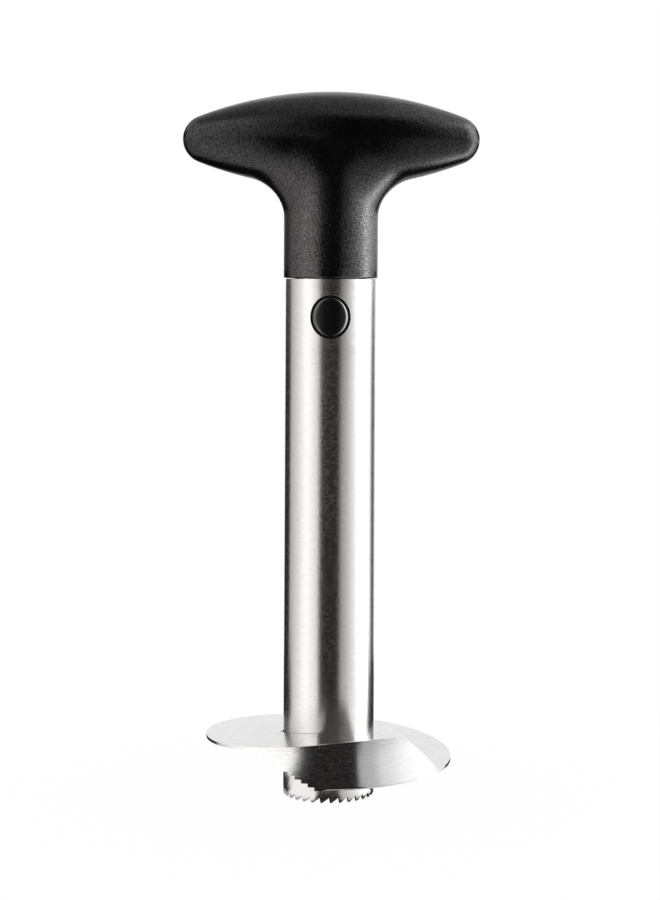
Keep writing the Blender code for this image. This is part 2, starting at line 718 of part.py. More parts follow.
def build_button(name, side, material):
    """A hollow button whose face follows the tube; side is 1 for the front, -1 for the rear."""
    flange_out = CHAMBER_HALF_DEPTH - GAP
    flange_in = flange_out - FLANGE_THICKNESS
    skirt_end = WEB_THICKNESS / 2 + GAP + BUTTON_TRAVEL
    pocket_end = TUBE_RADIUS - BUTTON_CROWN

    def face(x):
        return math.sqrt(TUBE_RADIUS**2 - x**2)

    rings = []
    for share in BUTTON_FACE_SHARES:
        rings.append((BUTTON_HALF_WIDTH * share, BUTTON_HALF_TALL * share, face))
    rings.append((BUTTON_HALF_WIDTH - BUTTON_EDGE, BUTTON_HALF_TALL - BUTTON_EDGE, face))
    rings.append((BUTTON_HALF_WIDTH, BUTTON_HALF_TALL, lambda x: face(x) - BUTTON_EDGE))
    rings.append((BUTTON_HALF_WIDTH, BUTTON_HALF_TALL, lambda x: flange_out))
    rings.append((FLANGE_HALF_WIDTH, FLANGE_HALF_TALL, lambda x: flange_out))
    rings.append((FLANGE_HALF_WIDTH, FLANGE_HALF_TALL, lambda x: flange_in))
    rings.append((SKIRT_RADIUS, SKIRT_RADIUS, lambda x: flange_in))
    rings.append((SKIRT_RADIUS, SKIRT_RADIUS, lambda x: skirt_end))
    rings.append((POCKET_RADIUS, POCKET_RADIUS, lambda x: skirt_end))
    rings.append((POCKET_RADIUS, POCKET_RADIUS, lambda x: pocket_end))
    bm = bmesh.new()
    loops = loft_rings(bm, [oval_ring(a, b, depth, BUTTON_SIDES) for a, b, depth in rings], False)
    crown = bm.verts.new((0.0, -TUBE_RADIUS, BUTTON_HEIGHT))
    for i in range(BUTTON_SIDES):
        bm.faces.new((loops[0][(i + 1) % BUTTON_SIDES], loops[0][i], crown))
    bm.faces.new(loops[-1])
    if side < 0:
        for vert in bm.verts:
            vert.co.x = -vert.co.x
            vert.co.y = -vert.co.y
    return add_object(name, bm, material)


def build_spring(name, side, material):
    """One unbroken coil between the web and the inside of its button."""
    start = WEB_THICKNESS / 2 + GAP + WIRE_RADIUS
    end = TUBE_RADIUS - BUTTON_CROWN - GAP - WIRE_RADIUS
    count = SPRING_TURNS * SPRING_POINTS_PER_TURN
    middle = SPRING_RADIUS - WIRE_RADIUS
    points = []
    for i in range(count + 1):
        angle = 2 * math.pi * i / SPRING_POINTS_PER_TURN
        out = start + (end - start) * i / count
        points.append(Vector((side * middle * math.cos(angle), -side * out,
                              BUTTON_HEIGHT + middle * math.sin(angle))))
    curve = bpy.data.curves.new(name, 'CURVE')
    curve.dimensions = '3D'
    curve.bevel_depth = WIRE_RADIUS
    curve.bevel_resolution = 1
    curve.use_fill_caps = True
    spline = curve.splines.new('POLY')
    spline.points.add(len(points) - 1)
    for slot, point in zip(spline.points, points):
        slot.co = (*point, 1.0)
    item = bpy.data.objects.new(name, curve)
    bpy.context.collection.objects.link(item)
    curve.materials.append(material)
    return item, least_turn_gap(points)


def least_turn_gap(points):
    """Least clear gap between one turn of the wire and the next, measured on the points."""
    least = math.inf
    for i, point in enumerate(points):
        for other in points[i + SPRING_POINTS_PER_TURN // 2:]:
            least = min(least, (point - other).length - 2 * WIRE_RADIUS)
    return least


def build_screw(name, side, material):
    """Long screw with a cylinder head and a six-sided socket, pointing up into the core."""
    x = side * SCREW_OFFSET
    head_top = CAP_BOTTOM + SCREW_HEAD_HEIGHT
    end = head_top + SCREW_LENGTH

    def socket_ring(height):
        ring = []
        for i in range(SCREW_SIDES):
            angle = 2 * math.pi * i / SCREW_SIDES
            swing = (angle + math.pi / 6) % (math.pi / 3) - math.pi / 6
            radius = SOCKET_RADIUS * math.cos(math.pi / 6) / math.cos(swing)
            ring.append((x + radius * math.cos(angle), radius * math.sin(angle), height))
        return ring

    rings = [
        socket_ring(CAP_BOTTOM + SOCKET_DEPTH),
        socket_ring(CAP_BOTTOM),
        circle_ring(SCREW_HEAD_RADIUS, CAP_BOTTOM, SCREW_SIDES, x),
        circle_ring(SCREW_HEAD_RADIUS, head_top, SCREW_SIDES, x),
        circle_ring(SCREW_RADIUS, head_top, SCREW_SIDES, x),
        circle_ring(SCREW_RADIUS, end - SCREW_POINT, SCREW_SIDES, x),
        circle_ring(SCREW_RADIUS / 2, end, SCREW_SIDES, x),
    ]
    bm = bmesh.new()
    loft_rings(bm, rings)
    return add_object(name, bm, material)


def put_origin(item, place):
    """Move an object's origin without moving its surface."""
    place = Vector(place)
    if item.type == 'CURVE':
        for point in item.data.splines[0].points:
            point.co = (*(point.co.xyz - place), 1.0)
    else:
        for vert in item.data.vertices:
            vert.co -= place
    item.location = place


def build_slicer():
    clear_scene()
    steel = make_material("brushed_steel", (0.62, 0.61, 0.60), 0.30, 1.0)
    blade_steel = make_material("blade_steel", (0.68, 0.68, 0.68), 0.22, 1.0)
    weld_steel = make_material("weld_steel", (0.45, 0.44, 0.43), 0.45, 1.0)
    grip_black = make_material("grip_black", (0.022, 0.022, 0.023), 0.50, 0.0)
    core_grey = make_material("core_plastic", (0.06, 0.06, 0.065), 0.55, 0.0)
    plug_black = make_material("plug_black", (0.030, 0.030, 0.032), 0.45, 0.0)
    button_black = make_material("button_black", (0.012, 0.012, 0.013), 0.28, 0.0)
    spring_steel = make_material("spring_steel", (0.50, 0.50, 0.52), 0.30, 1.0)
    screw_steel = make_material("screw_steel", (0.40, 0.40, 0.42), 0.38, 1.0)

    build_core_tube(steel)
    build_spiral_blade(blade_steel)
    for name, angle in zip(("blade_weld_left", "blade_weld_back", "blade_weld_right"), WELD_ANGLES):
        build_weld(name, angle, weld_steel)
    build_grip_skin(grip_black)
    build_handle_core(core_grey)
    build_coupling_plug(plug_black)
    build_plug_end_cap(plug_black)
    gaps = []
    for place, side in (("front", 1), ("rear", -1)):
        button = build_button("button_" + place, side, button_black)
        put_origin(button, (0.0, -side * TUBE_RADIUS, BUTTON_HEIGHT))
        spring, gap = build_spring("spring_" + place, side, spring_steel)
        put_origin(spring, (0.0, 0.0, BUTTON_HEIGHT))
        gaps.append(gap)
    for place, side in (("left", -1), ("right", 1)):
        build_screw("plug_screw_" + place, side, screw_steel)
    print("least gap between spring turns, mm:", round(min(gaps) * 1000, 3))


build_slicer()
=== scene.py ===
"""Looks of the hand pineapple slicer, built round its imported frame.

Lengths are in metres, +Z is up and the tooth tips stand on z = 0. The handle's bar lies along X.
Angles round the tube are counted from the front (-Y) towards the right (+X).
"""

from math import asin, atan2, cos, hypot, pi, radians, remainder, sin, sqrt

import bmesh
import bpy
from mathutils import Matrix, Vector


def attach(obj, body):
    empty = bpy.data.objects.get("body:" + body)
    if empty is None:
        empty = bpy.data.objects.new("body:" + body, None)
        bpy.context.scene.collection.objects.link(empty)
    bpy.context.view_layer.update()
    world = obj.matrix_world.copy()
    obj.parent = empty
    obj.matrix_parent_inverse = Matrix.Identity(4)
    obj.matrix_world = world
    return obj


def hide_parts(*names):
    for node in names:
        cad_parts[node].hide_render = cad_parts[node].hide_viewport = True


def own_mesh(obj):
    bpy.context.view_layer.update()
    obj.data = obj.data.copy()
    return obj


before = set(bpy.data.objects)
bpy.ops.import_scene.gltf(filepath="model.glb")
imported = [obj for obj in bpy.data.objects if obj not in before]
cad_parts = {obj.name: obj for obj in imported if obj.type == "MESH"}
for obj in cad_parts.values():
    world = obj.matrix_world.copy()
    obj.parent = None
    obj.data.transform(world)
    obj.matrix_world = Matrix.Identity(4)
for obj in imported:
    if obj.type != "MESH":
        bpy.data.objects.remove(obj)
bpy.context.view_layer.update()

# Shared sizes, the same as the solids'
GAP = 0.0003
WELD_DISTANCE = 0.000001
CREASE_DEGREES = 32
SHARP_ANGLE = radians(35)
TUBE_RADIUS = 0.0157
TUBE_WALL = 0.0008
TUBE_TOP = 0.1792
TOOTH_COUNT = 30
TOOTH_HEIGHT = 0.0021
TOOTH_FACE_SHARE = 0.14
TOOTH_TURN = radians(2.6)
BLADE_RADIUS = 0.0425
SHEET = 0.0010
BLADE_LEAD_HEIGHT = 0.01255
BLADE_DROP = 0.01405
SLIT_OFFSET = 0.0027
SLIT_WIDTH = 0.0007
BEVEL_LENGTH = 0.0032
EDGE_THICKNESS = 0.0003
RELIEF_RADIUS = 0.0009
RELIEF_ANGLE = radians(-82)
BLADE_HEIGHT_SHARES = (
    (0.000, 1.000, 0.840),
    (0.072, 0.840, 0.785),
    (0.167, 0.680, 0.690),
    (0.290, 0.585, 0.590),
    (0.412, 0.468, 0.470),
    (0.557, 0.308, 0.310),
    (0.694, 0.145, 0.147),
    (0.822, 0.048, 0.048),
    (1.000, 0.000, 0.000),
)
WALL_ARCH = 0.00126
WALL_ARCH_ANGLE = radians(28)
WALL_BACK_TOP_ANGLE = radians(36)
WALL_BACK_FOOT_ANGLE = radians(61)
WALL_LEAD_ANGLE = radians(-33)
WALL_CORNER_SOFTNESS = 0.0016
WALL_CORNER_SPAN = radians(3)
WALL_SAW_STEPS = 10
NECK_BASE = 0.1795
NECK_RADIUS = 0.0164
NECK_STRAIGHT = 0.0205
BAR_HEIGHT = 0.2278
BAR_RADIUS = 0.0167
BAR_ARC_RADIUS = 0.1270
BAR_HALF_LENGTH = 0.05175
NECK_FILLET = 0.0115
CHEEK_FILLET = 0.0020
GRIP_THICKNESS = 0.0024
PATCH_HALF_LENGTH = 0.026
PLUG_RADIUS = 0.0146
PLUG_TOP = 0.1792
PLUG_BOTTOM = 0.1530
SPIGOT_RADIUS = 0.0060
SPIGOT_LENGTH = 0.0120
CHAMBER_HALF_DEPTH = 0.0093
CAP_TOP = 0.1527
CAP_BOTTOM = 0.1495
WEB_THICKNESS = 0.0020
WEB_WIDTH = 0.0110
SPRING_POST_RADIUS = 0.0027
SPRING_POST_LENGTH = 0.0012
BUTTON_HEIGHT = 0.1661
BUTTON_HALF_WIDTH = 0.0063
BUTTON_HALF_TALL = 0.00695
BUTTON_TRAVEL = 0.0030
HOLE_CLEARANCE = 0.0006
FLANGE_RIM = 0.0010
FLANGE_THICKNESS = 0.0012
SKIRT_RADIUS = 0.0060
POCKET_RADIUS = 0.0046
BUTTON_CROWN = 0.0017
SPRING_RADIUS = 0.0040
WIRE_RADIUS = 0.0004
SPRING_TURNS = 6
SCREW_OFFSET = 0.0110
SCREW_RADIUS = 0.0015
SCREW_LENGTH = 0.0430
SCREW_HEAD_RADIUS = 0.0023
SCREW_HEAD_HEIGHT = 0.0017
SOCKET_RADIUS = 0.0012
SOCKET_DEPTH = 0.0010
HUB_RADIUS = TUBE_RADIUS + GAP
WALL_INNER_RADIUS = BLADE_RADIUS - SHEET
TURN = pi * 2

# Finer divisions and edges that only the looks have
COLUMN_SHARES = (0.0, 0.085, 0.17, 0.25, 0.335, 0.42, 0.5, 0.59, 0.68, 0.77, 0.86, 0.93)
TUBE_EDGE = 0.00012
HOLE_EDGE = 0.00003
TOOTH_GRIND = 0.00030
TOOTH_GRIND_DEPTH = 0.0006
# Heights of the tube's mesh rows below the holes, over the row of the teeth
TUBE_ROWS = (0.0027, 0.006, 0.012, 0.030, 0.060, 0.090, 0.120, 0.145)
HOLE_PATCH_COLUMNS = 36
HOLE_PATCH_HALF_TALL = 0.0105
HOLE_PATCH_ROWS = 24
HOLE_PATCH_RINGS = 6
BLADE_STEPS = 220
RELIEF_STEPS = 12
BLADE_RADIAL_STEPS = 10
WALL_COLUMN_STEPS = (14, 10, 26, 6)
SAW_STEP_DIVISIONS = 3
FOLD_POINTS = 5
FOLD_SHARE = 0.95
FOLD_RUN = 0.0025
BLADE_EDGE = 0.00009
END_EASE = 0.0003
END_EASE_SHARE = 0.0016
# Painted shade on the inner side of the blade's folded wall: the share of its colour kept there
INNER_SHADE_SHARE = 0.22
# Painted shadow round the relief notch and along the slit: the share of colour kept there and the
# width of these marks
PAINTED_SHADE_SHARE = 0.12
PAINTED_SHADE_WIDTH = 0.0004
# Height above which the painted shadow line along the slit is drawn
SLIT_SHADE_BOTTOM = 0.0245
SEAM = 0.00003
WELD_SPAN = radians(26)
WELD_LEG = 0.0016
WELD_STEPS = 40
WELD_RIPPLES = 18
WELD_ARC = 6
GRIP_SIDES = 96
GRIP_PATCH_RINGS = 14
GRIP_END_RINGS = 26
NECK_RINGS = 6
NECK_EDGE = 0.0005
HALVINGS = 30
BUTTON_SIDES = 96
BUTTON_ROUND = 0.0011
BUTTON_ROUND_TALL_SHARE = 0.45
BUTTON_FACE_SHARES = (0.15, 0.35, 0.55, 0.7, 0.8)
BUTTON_RIM_SHARES = (
    (1.15, 0.000), (1.00, 0.010), (0.90, 0.040), (0.82, 0.085), (0.60, 0.230), (0.38, 0.380),
    (0.20, 0.520), (0.10, 0.640), (0.03, 0.850), (0.00, 1.150),
)
ROUND_SIDES = 128
SMALL_SIDES = 48
SPRING_POINTS_PER_TURN = 32
WIRE_SIDES = 12
PLUG_EDGE = 0.00012
CUT_OVER = 0.002
POLISH_SLANT = radians(-38)
# The neck's stronger reflection, a painted highlight, fades into the bar's weaker one, painted
# shade, between these heights
NECK_HIGHLIGHT_START = NECK_BASE + NECK_STRAIGHT + 0.001
NECK_HIGHLIGHT_END = BAR_HEIGHT - 0.009

# Viewpoint of the photograph
FRAME_WIDTH = 660
FRAME_HEIGHT = 900
FOCAL_PIXELS = 1892
HORIZON_PIXEL = 298
AXIS_PIXEL = 330.6
CAMERA_DISTANCE = 0.660
CAMERA_HEIGHT = 0.1726
CAMERA_ROLL = radians(-0.28)
SENSOR = 36.0

# Brightness of the studio cards by direction, in degrees from the front towards the right
STUDIO_PEAK = 4.5
STUDIO_DARK = 0.017
STUDIO_TOP = 0.55
STUDIO_LEVELS = (
    (-120, 0.50), (-108, 0.64), (-92, 0.84), (-78, 1.08), (-66, 1.36), (-56, 1.38), (-44, 1.15),
    (-34, 1.00), (-28, 0.90), (-26, STUDIO_DARK), (25, STUDIO_DARK), (27, 0.40), (40, 0.52),
    (51, 0.74), (62, 0.98), (74, 1.30), (83, 2.00), (91, 4.40), (101, 4.40), (109, 2.20),
    (121, 1.10), (131, 0.60),
)
NECK_LEVELS = (
    (-166, 0.30), (-150, 0.15), (-132, 0.17), (-121, 0.30), (-112, 0.52), (-92, 0.84), (-78, 1.08),
    (-66, 1.36), (-56, 1.38), (-44, 1.15), (-37, 0.75), (-30, 0.48), (-26, 0.24), (-20, 0.06),
    (-14, STUDIO_DARK), (25, STUDIO_DARK), (28, 0.14), (40, 0.24), (51, 0.50), (62, 1.05),
    (74, 1.75), (83, 2.30), (91, 3.90), (101, 3.90), (109, 2.90), (121, 1.90), (135, 1.20),
    (150, 0.70), (166, 0.60),
)
HIGH_LEVELS = (
    (-180, 0.55), (-120, 0.75), (-92, 1.20), (-66, 1.50), (-56, 1.50), (-44, 1.30), (-39, 1.25),
    (-33, 0.85), (-28, 0.60), (-23, 0.44), (-14, 0.30), (-2, STUDIO_DARK), (25, STUDIO_DARK),
    (31, 0.06), (37, 0.12), (43, 0.45), (50, 0.95), (62, 1.50), (74, 2.40), (83, 3.60), (91, 4.40),
    (101, 4.40), (109, 2.80), (121, 1.80), (140, 1.20), (165, 0.80), (180, 0.55),
)
TOP_LEVELS = (
    (-180, 0.55), (-90, 0.42), (0, 0.50), (30, 0.70), (60, 1.00), (90, 1.30), (130, 1.00),
    (180, 0.55),
)
WALL_LEFT_LEVELS = (
    (-103, 0.62), (-96, 0.80), (-85, 1.10), (-60, 1.32), (-29, 1.30), (-25, 1.08), (-22, 0.45),
    (-19.8, 0.17), (-17, 0.06), (-13.5, 0.035), (-10, STUDIO_DARK),
)
WALL_RIGHT_LEVELS = (
    (21.2, STUDIO_DARK), (23.2, 0.50), (28, 0.53), (34, 0.59), (37.5, 0.72), (41, 0.86), (48, 0.95),
    (56, 1.13), (63, 1.22), (71, 1.30), (85, 1.40), (100, 1.00), (108, 0.70),
)
FOOT_LEVELS = (
    (-110, 0.70), (-92, 0.95), (-78, 1.10), (-66, 1.20), (-44, 1.15), (-30, 1.15), (-23, 1.30),
    (-20, STUDIO_DARK), (19, STUDIO_DARK), (22, 0.50), (32, 0.70), (51, 0.95), (62, 1.20),
    (83, 2.00), (91, 4.40), (101, 4.40), (109, 2.20),
)
UNDER_TEETH_LEVELS = (
    (-150, STUDIO_DARK), (-120, 0.35), (-60, 0.50), (-30, 0.35), (-12, STUDIO_DARK),
)
WALL_SKEW = 3.0
WALL_SKEW_RADIUS = 0.130
# Where the dark back begins on the left and on the right, for far cards and for the floor cards
FAR_BACK = (122, 133)
NEAR_BACK = (112, 119)
WALL_BACK = (107, 111)
UNDER_BACK = (96, 105)
FOOT_BACK = (80, 91)
NO_BACK = (179, 179)
# Where the white behind the slicer begins again on the left and on the right, and its level
BACK_WHITE = (162, 149)
BACK_LEVEL = 0.65
BACK_FADE = 4
LOW_SIDE_DARK = 0.045
WARM_TINT = (1.0, 0.965, 0.955)
WARM_DARK_TINT = (1.0, 0.88, 0.86)
PALE_TINT = (1.0, 0.992, 0.988)
PLAIN_TINT = (1.0, 1.0, 1.0)
WHITE = (1.0, 1.0, 1.0, 1.0)
# Places of the cards, the floor and the lamps
CARD_STEP = 5
CARD_LIFT = 0.0006
CARD_REACH = 3.0
CARD_TOP = 4.5
ZENITH_REACH = 1.3
UPRIGHT_ARC = (-166, 166)
FLOOR_REACH = 12.0
FLOOR_COLOUR = (0.9, 0.9, 0.9, 1.0)
# The floor is a little darker where the slicer stands, and white from the second distance on
FLOOR_SHADE = 0.975
FLOOR_FADE = (0.04, 0.20)
WORLD_LEVEL = 0.55
SOFTBOX_SIZE = 1.9
SOFTBOX_DISTANCE = 1.5
SOFTBOX_HEIGHT = 0.45
SOFTBOX_AIM = 0.12


def polar(angle, radius, height):
    return Vector((radius * sin(angle), -radius * cos(angle), height))


def smooth_step(value):
    value = min(max(value, 0.0), 1.0)
    return value * value * (3 - 2 * value)


def quarter_turn(steps):
    return [pi / 2 * i / steps for i in range(steps + 1)]


def border(x0, x1, y0, y1):
    """Places round a patch of a grid, from its corner (x0, y0) by (x0, y1) and the others."""
    def steps(start, end):
        return range(start, end, 1 if end > start else -1)

    places = [(x0, y) for y in steps(y0, y1)] + [(x, y1) for x in steps(x0, x1)]
    return places + [(x1, y) for y in steps(y1, y0)] + [(x, y0) for x in steps(x1, x0)]


def bridge_rings(bm, lower, upper):
    count = len(lower)
    for i in range(count):
        j = (i + 1) % count
        bm.faces.new((lower[i], lower[j], upper[j], upper[i]))


def ring_of(bm, points):
    return [bm.verts.new(point) for point in points]


def extend(bm, ring, points):
    """Continue a surface from a ring to a new one, which is returned."""
    following = ring_of(bm, points)
    bridge_rings(bm, following, ring)
    return following


def loft_rings(bm, rings, cap_ends=True):
    loops = [ring_of(bm, ring) for ring in rings]
    for lower, upper in zip(loops, loops[1:]):
        bridge_rings(bm, lower, upper)
    if cap_ends:
        bm.faces.new(list(reversed(loops[0])))
        bm.faces.new(loops[-1])
    return loops


def circle_ring(radius, height, sides, x=0.0):
    turn = TURN / sides
    return [(x + radius * cos(i * turn), radius * sin(i * turn), height)
            for i in range(sides)]


def as_object(name, bm, crease=CREASE_DEGREES):
    bmesh.ops.recalc_face_normals(bm, faces=bm.faces)
    mesh = bpy.data.meshes.new(name)
    bm.to_mesh(mesh)
    bm.free()
    mesh.shade_smooth()
    mesh.set_sharp_from_angle(angle=radians(crease))
    item = bpy.data.objects.new(name, mesh)
    bpy.context.collection.objects.link(item)
    return item


def lofted(name, rings, crease=CREASE_DEGREES):
    bm = bmesh.new()
    loft_rings(bm, rings)
    return as_object(name, bm, crease)


def cut(target, cutter, operation='DIFFERENCE'):
    modifier = target.modifiers.new("cut", 'BOOLEAN')
    modifier.operation = operation
    modifier.solver = 'EXACT'
    modifier.object = cutter
    depsgraph = bpy.context.evaluated_depsgraph_get()
    mesh = bpy.data.meshes.new_from_object(target.evaluated_get(depsgraph))
    target.modifiers.clear()
    target.data = mesh
    mesh.set_sharp_from_angle(angle=radians(CREASE_DEGREES))
    bpy.data.objects.remove(cutter, do_unlink=True)


def soften(item, width, limit='ANGLE'):
    bevel = item.modifiers.new("edge", 'BEVEL')
    bevel.width = width
    bevel.segments = 2
    bevel.limit_method = limit
    bevel.angle_limit = SHARP_ANGLE
    bevel.harden_normals = True


def settle(item, body, slot, material, *nodes):
    """Give a piece its material and its body, and hide the solids it stands for."""
    item.data.materials.clear()
    item.data.materials.append(material)
    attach(item, body)
    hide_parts(*nodes)


# Materials

class Nodes:
    """Shorthand for building the node tree of a material or of the world."""

    def __init__(self, owner, bare=False):
        owner.use_nodes = True
        self.owner = owner
        self.tree = owner.node_tree
        if bare:
            self.tree.nodes.clear()

    def give(self, socket, value):
        """Link an input from another node's output, or set its value."""
        if isinstance(value, bpy.types.NodeSocket):
            self.tree.links.new(value, socket)
        else:
            socket.default_value = value

    def add(self, kind, *values, **named):
        """Add a node and return its outputs. A name that isn't an input's is a setting."""
        node = self.tree.nodes.new("ShaderNode" + kind)
        for socket, value in zip(node.inputs, values):
            self.give(socket, value)
        for name, value in named.items():
            if name in node.inputs:
                self.give(node.inputs[name], value)
            else:
                setattr(node, name, value)
        return node.outputs

    def math(self, operation, *values):
        return self.add("Math", *values, operation=operation)[0]

    def vector(self, operation, *values, **named):
        outputs = self.add("VectorMath", *values, operation=operation, **named)
        return outputs["Value" if operation in ('LENGTH', 'DOT_PRODUCT') else "Vector"]

    def span(self, value, low, high, start=0.3, end=0.7):
        """From low to high while the value goes from start to end."""
        return self.add("MapRange", value, start, end, low, high)[0]

    def ramp(self, value, stops):
        """Colour by value from (place, colour) stops, of which the ends come first."""
        node = self.tree.nodes.new("ShaderNodeValToRGB")
        self.give(node.inputs[0], value)
        elements = node.color_ramp.elements
        for k, (place, colour) in enumerate(stops):
            stop = elements[k] if k < 2 else elements.new(place)
            stop.position = place
            stop.color = (*colour, 1.0)
        return node.outputs[0]

    def seen_by(self, *kinds):
        """1 for the camera's rays and these kinds of ray, 0 for the others."""
        rays = self.add("LightPath")
        seen = rays["Is Camera Ray"]
        for kind in kinds:
            seen = self.math('MAXIMUM', seen, rays["Is %s Ray" % kind])
        return seen

    def glow(self, colour, strength):
        """Make the material one that only glows."""
        self.add("OutputMaterial", self.add("Emission", colour, strength)[0])
        return self.owner


class Surface(Nodes):
    """Node tree of a material round its shader, with textures placed in metres."""

    def __init__(self, name):
        super().__init__(bpy.data.materials.new(name))
        self.shader = self.tree.nodes["Principled BSDF"]
        self.place = self.add("TexCoord")["Object"]

    def noise(self, scale, detail=3.0, roughness=0.6, rotation=(0.0, 0.0, 0.0)):
        """Noise of one scale, or with a scale for each axis."""
        place = self.place
        if isinstance(scale, tuple):
            place = self.add("Mapping", place, Scale=scale, Rotation=rotation)[0]
            scale = 1.0
        return self.add("TexNoise", place, Scale=scale, Detail=detail, Roughness=roughness)["Fac"]

    def cells(self, scale):
        node = self.add("TexVoronoi", self.place, feature='SMOOTH_F1', Scale=scale, Smoothness=0.6)
        return node["Distance"]

    def blend(self, value, dark, light):
        return self.ramp(value, ((0.3, dark), (0.7, light)))

    def total(self, first, second, share):
        return self.math('MULTIPLY_ADD', second, share, first)

    def along(self, axis):
        return self.add("SeparateXYZ", self.place)[axis]

    def apart_from(self, point, axes):
        """Distance from a point, counted along some axes only."""
        offset = [-value * axis for value, axis in zip(point, axes)]
        return self.vector('LENGTH', self.vector('MULTIPLY_ADD', self.place, axes, offset))

    def inward(self):
        """How squarely a face looks at the tube's axis: 1 on the inner side of an upright wall."""
        unit = self.vector('NORMALIZE', self.vector('MULTIPLY', self.place, (-1.0, -1.0, 0.0)))
        return self.vector('DOT_PRODUCT', unit, self.add("NewGeometry")["Normal"])

    def finish(self, height, strength, distance, **inputs):
        """Give the shader its bump and its other inputs."""
        inputs["Normal"] = self.add("Bump", Height=height, Strength=strength, Distance=distance)[0]
        for name, value in inputs.items():
            self.give(self.shader.inputs[name.replace("_", " ")], value)
        return self.owner


def tube_steel():
    """Steel brushed round the tube: fine level lines, crisp bands up and down."""
    n = Surface("brushed_tube")
    lines = n.noise((420.0, 420.0, 3400.0), 3.0, 0.7)
    grain = n.noise(1500.0, 3.0, 0.7)
    speck = n.noise((650.0, 650.0, 1750.0), 2.0, 0.6)
    return n.finish(
        n.total(lines, grain, 1.0), 0.8, 0.00003,
        Base_Color=n.blend(lines, (0.72, 0.71, 0.70), (0.80, 0.79, 0.78)),
        Roughness=n.span(grain, 0.14, 0.26), Metallic=n.span(speck, 0.94, 1.0, 0.30, 0.52),
        Anisotropic=0.4, Anisotropic_Rotation=0.25,
        Tangent=n.add("Tangent", direction_type='RADIAL', axis='Z')[0])


def blade_steel():
    """Bright sheet with faint slanting polishing marks, satin but for its outer face.

    The inner side of the folded wall is darkened as painted shade, and painted shadow darkens the
    sheet round the relief notch and in a line along the slit.
    """
    n = Surface("bright_sheet")
    level = (1.0, 1.0, 0.0)
    outer_face = n.span(n.apart_from((0.0, 0.0, 0.0), level), 0.0, 1.0,
                        BLADE_RADIUS - 2 * BLADE_EDGE, BLADE_RADIUS - BLADE_EDGE)
    marks = n.noise((300.0, 300.0, 1700.0), 3.0, 0.6, (0.0, POLISH_SLANT, 0.0))
    broad = n.noise(60.0, 3.0, 0.5)
    speck = n.noise(1300.0, 2.0, 0.6)
    # Painted shade: the wall's inner side, which faces the tube, keeps only a share of its colour
    inner_shade = n.span(n.inward(), 1.0, INNER_SHADE_SHARE, 0.5, 0.9)
    # Painted shadow: the sheet is darkened round the relief notch, where blade and tube leave a gap
    notch = n.apart_from(polar(RELIEF_ANGLE, HUB_RADIUS, 0.0), level)
    stain_and_shade = n.span(notch, PAINTED_SHADE_SHARE, 1.0, RELIEF_RADIUS, RELIEF_RADIUS + PAINTED_SHADE_WIDTH)
    # Painted shadow: a thin dark line on the sheet's top beside the slit's upper end, at the front
    # only and above a given height
    slit_end = -SLIT_OFFSET - SLIT_WIDTH / 2 - END_EASE - PAINTED_SHADE_WIDTH / 2
    beside = n.apart_from((slit_end, 0.0, 0.0), (1.0, 0.0, 0.0))
    slit_shade = n.span(beside, PAINTED_SHADE_SHARE, 1.0, PAINTED_SHADE_WIDTH / 3, PAINTED_SHADE_WIDTH * 2 / 3)
    upper = n.span(n.along("Z"), 1.0, 0.0, SLIT_SHADE_BOTTOM, SLIT_SHADE_BOTTOM + PAINTED_SHADE_WIDTH)
    front = n.span(n.along("Y"), 0.0, 1.0, -HUB_RADIUS, 0.0)
    for limit in (upper, outer_face, front):
        slit_shade = n.math('MAXIMUM', slit_shade, limit)
    # All the painted shade and shadow, as the share of colour kept
    shade = n.math('MULTIPLY', inner_shade, n.math('MULTIPLY', stain_and_shade, slit_shade))
    colour = n.blend(marks, (0.74, 0.74, 0.738), (0.81, 0.81, 0.808))
    return n.finish(
        n.total(marks, speck, 0.8), 0.35, 0.00004,
        Base_Color=n.vector('SCALE', colour, Scale=shade),
        Roughness=n.total(n.span(broad, 0.25, 0.30), outer_face, -0.15),
        Metallic=n.span(speck, 0.972, 1.0, 0.34, 0.56))


def weld_steel():
    n = Surface("weld_bead")
    stain_and_shade = n.noise(420.0, 4.0)
    return n.finish(
        n.noise(900.0), 0.25, 0.0001, Metallic=1.0, Roughness=n.span(stain_and_shade, 0.32, 0.5),
        Base_Color=n.blend(stain_and_shade, (0.33, 0.30, 0.28), (0.55, 0.54, 0.53)))


def grip_black():
    """Matt black moulding with a fine leather-like grain, reflecting more on the neck as a painted
    highlight and less on the bar as painted shade.
    """
    n = Surface("grained_black")
    grain = n.cells(1700.0)
    fine = n.noise(1700.0, 2.0, 0.7)
    # Painted highlight: the neck reflects about twice as strongly as the bar, fading upwards
    neck_highlight = n.span(n.along("Z"), 0.93, 0.46, NECK_HIGHLIGHT_START, NECK_HIGHLIGHT_END)
    glint = n.span(fine, 0.3, 1.7, 0.33, 0.67)
    return n.finish(
        n.total(grain, fine, 0.8), 0.55, 0.00006, IOR=1.5,
        Specular_IOR_Level=n.math('MULTIPLY', neck_highlight, glint),
        Base_Color=n.blend(n.noise(90.0, 4.0), (0.0010, 0.0010, 0.0010), (0.0022, 0.0021, 0.0021)),
        Roughness=n.span(grain, 0.14, 0.22))


def smooth_black(name, dark, light, roughness, ripple):
    n = Surface(name)
    cloud = n.noise(160.0, 4.0)
    return n.finish(
        n.noise(1500.0), ripple, 0.00005, Base_Color=n.blend(cloud, dark, light),
        Roughness=n.span(cloud, roughness - 0.04, roughness + 0.05))


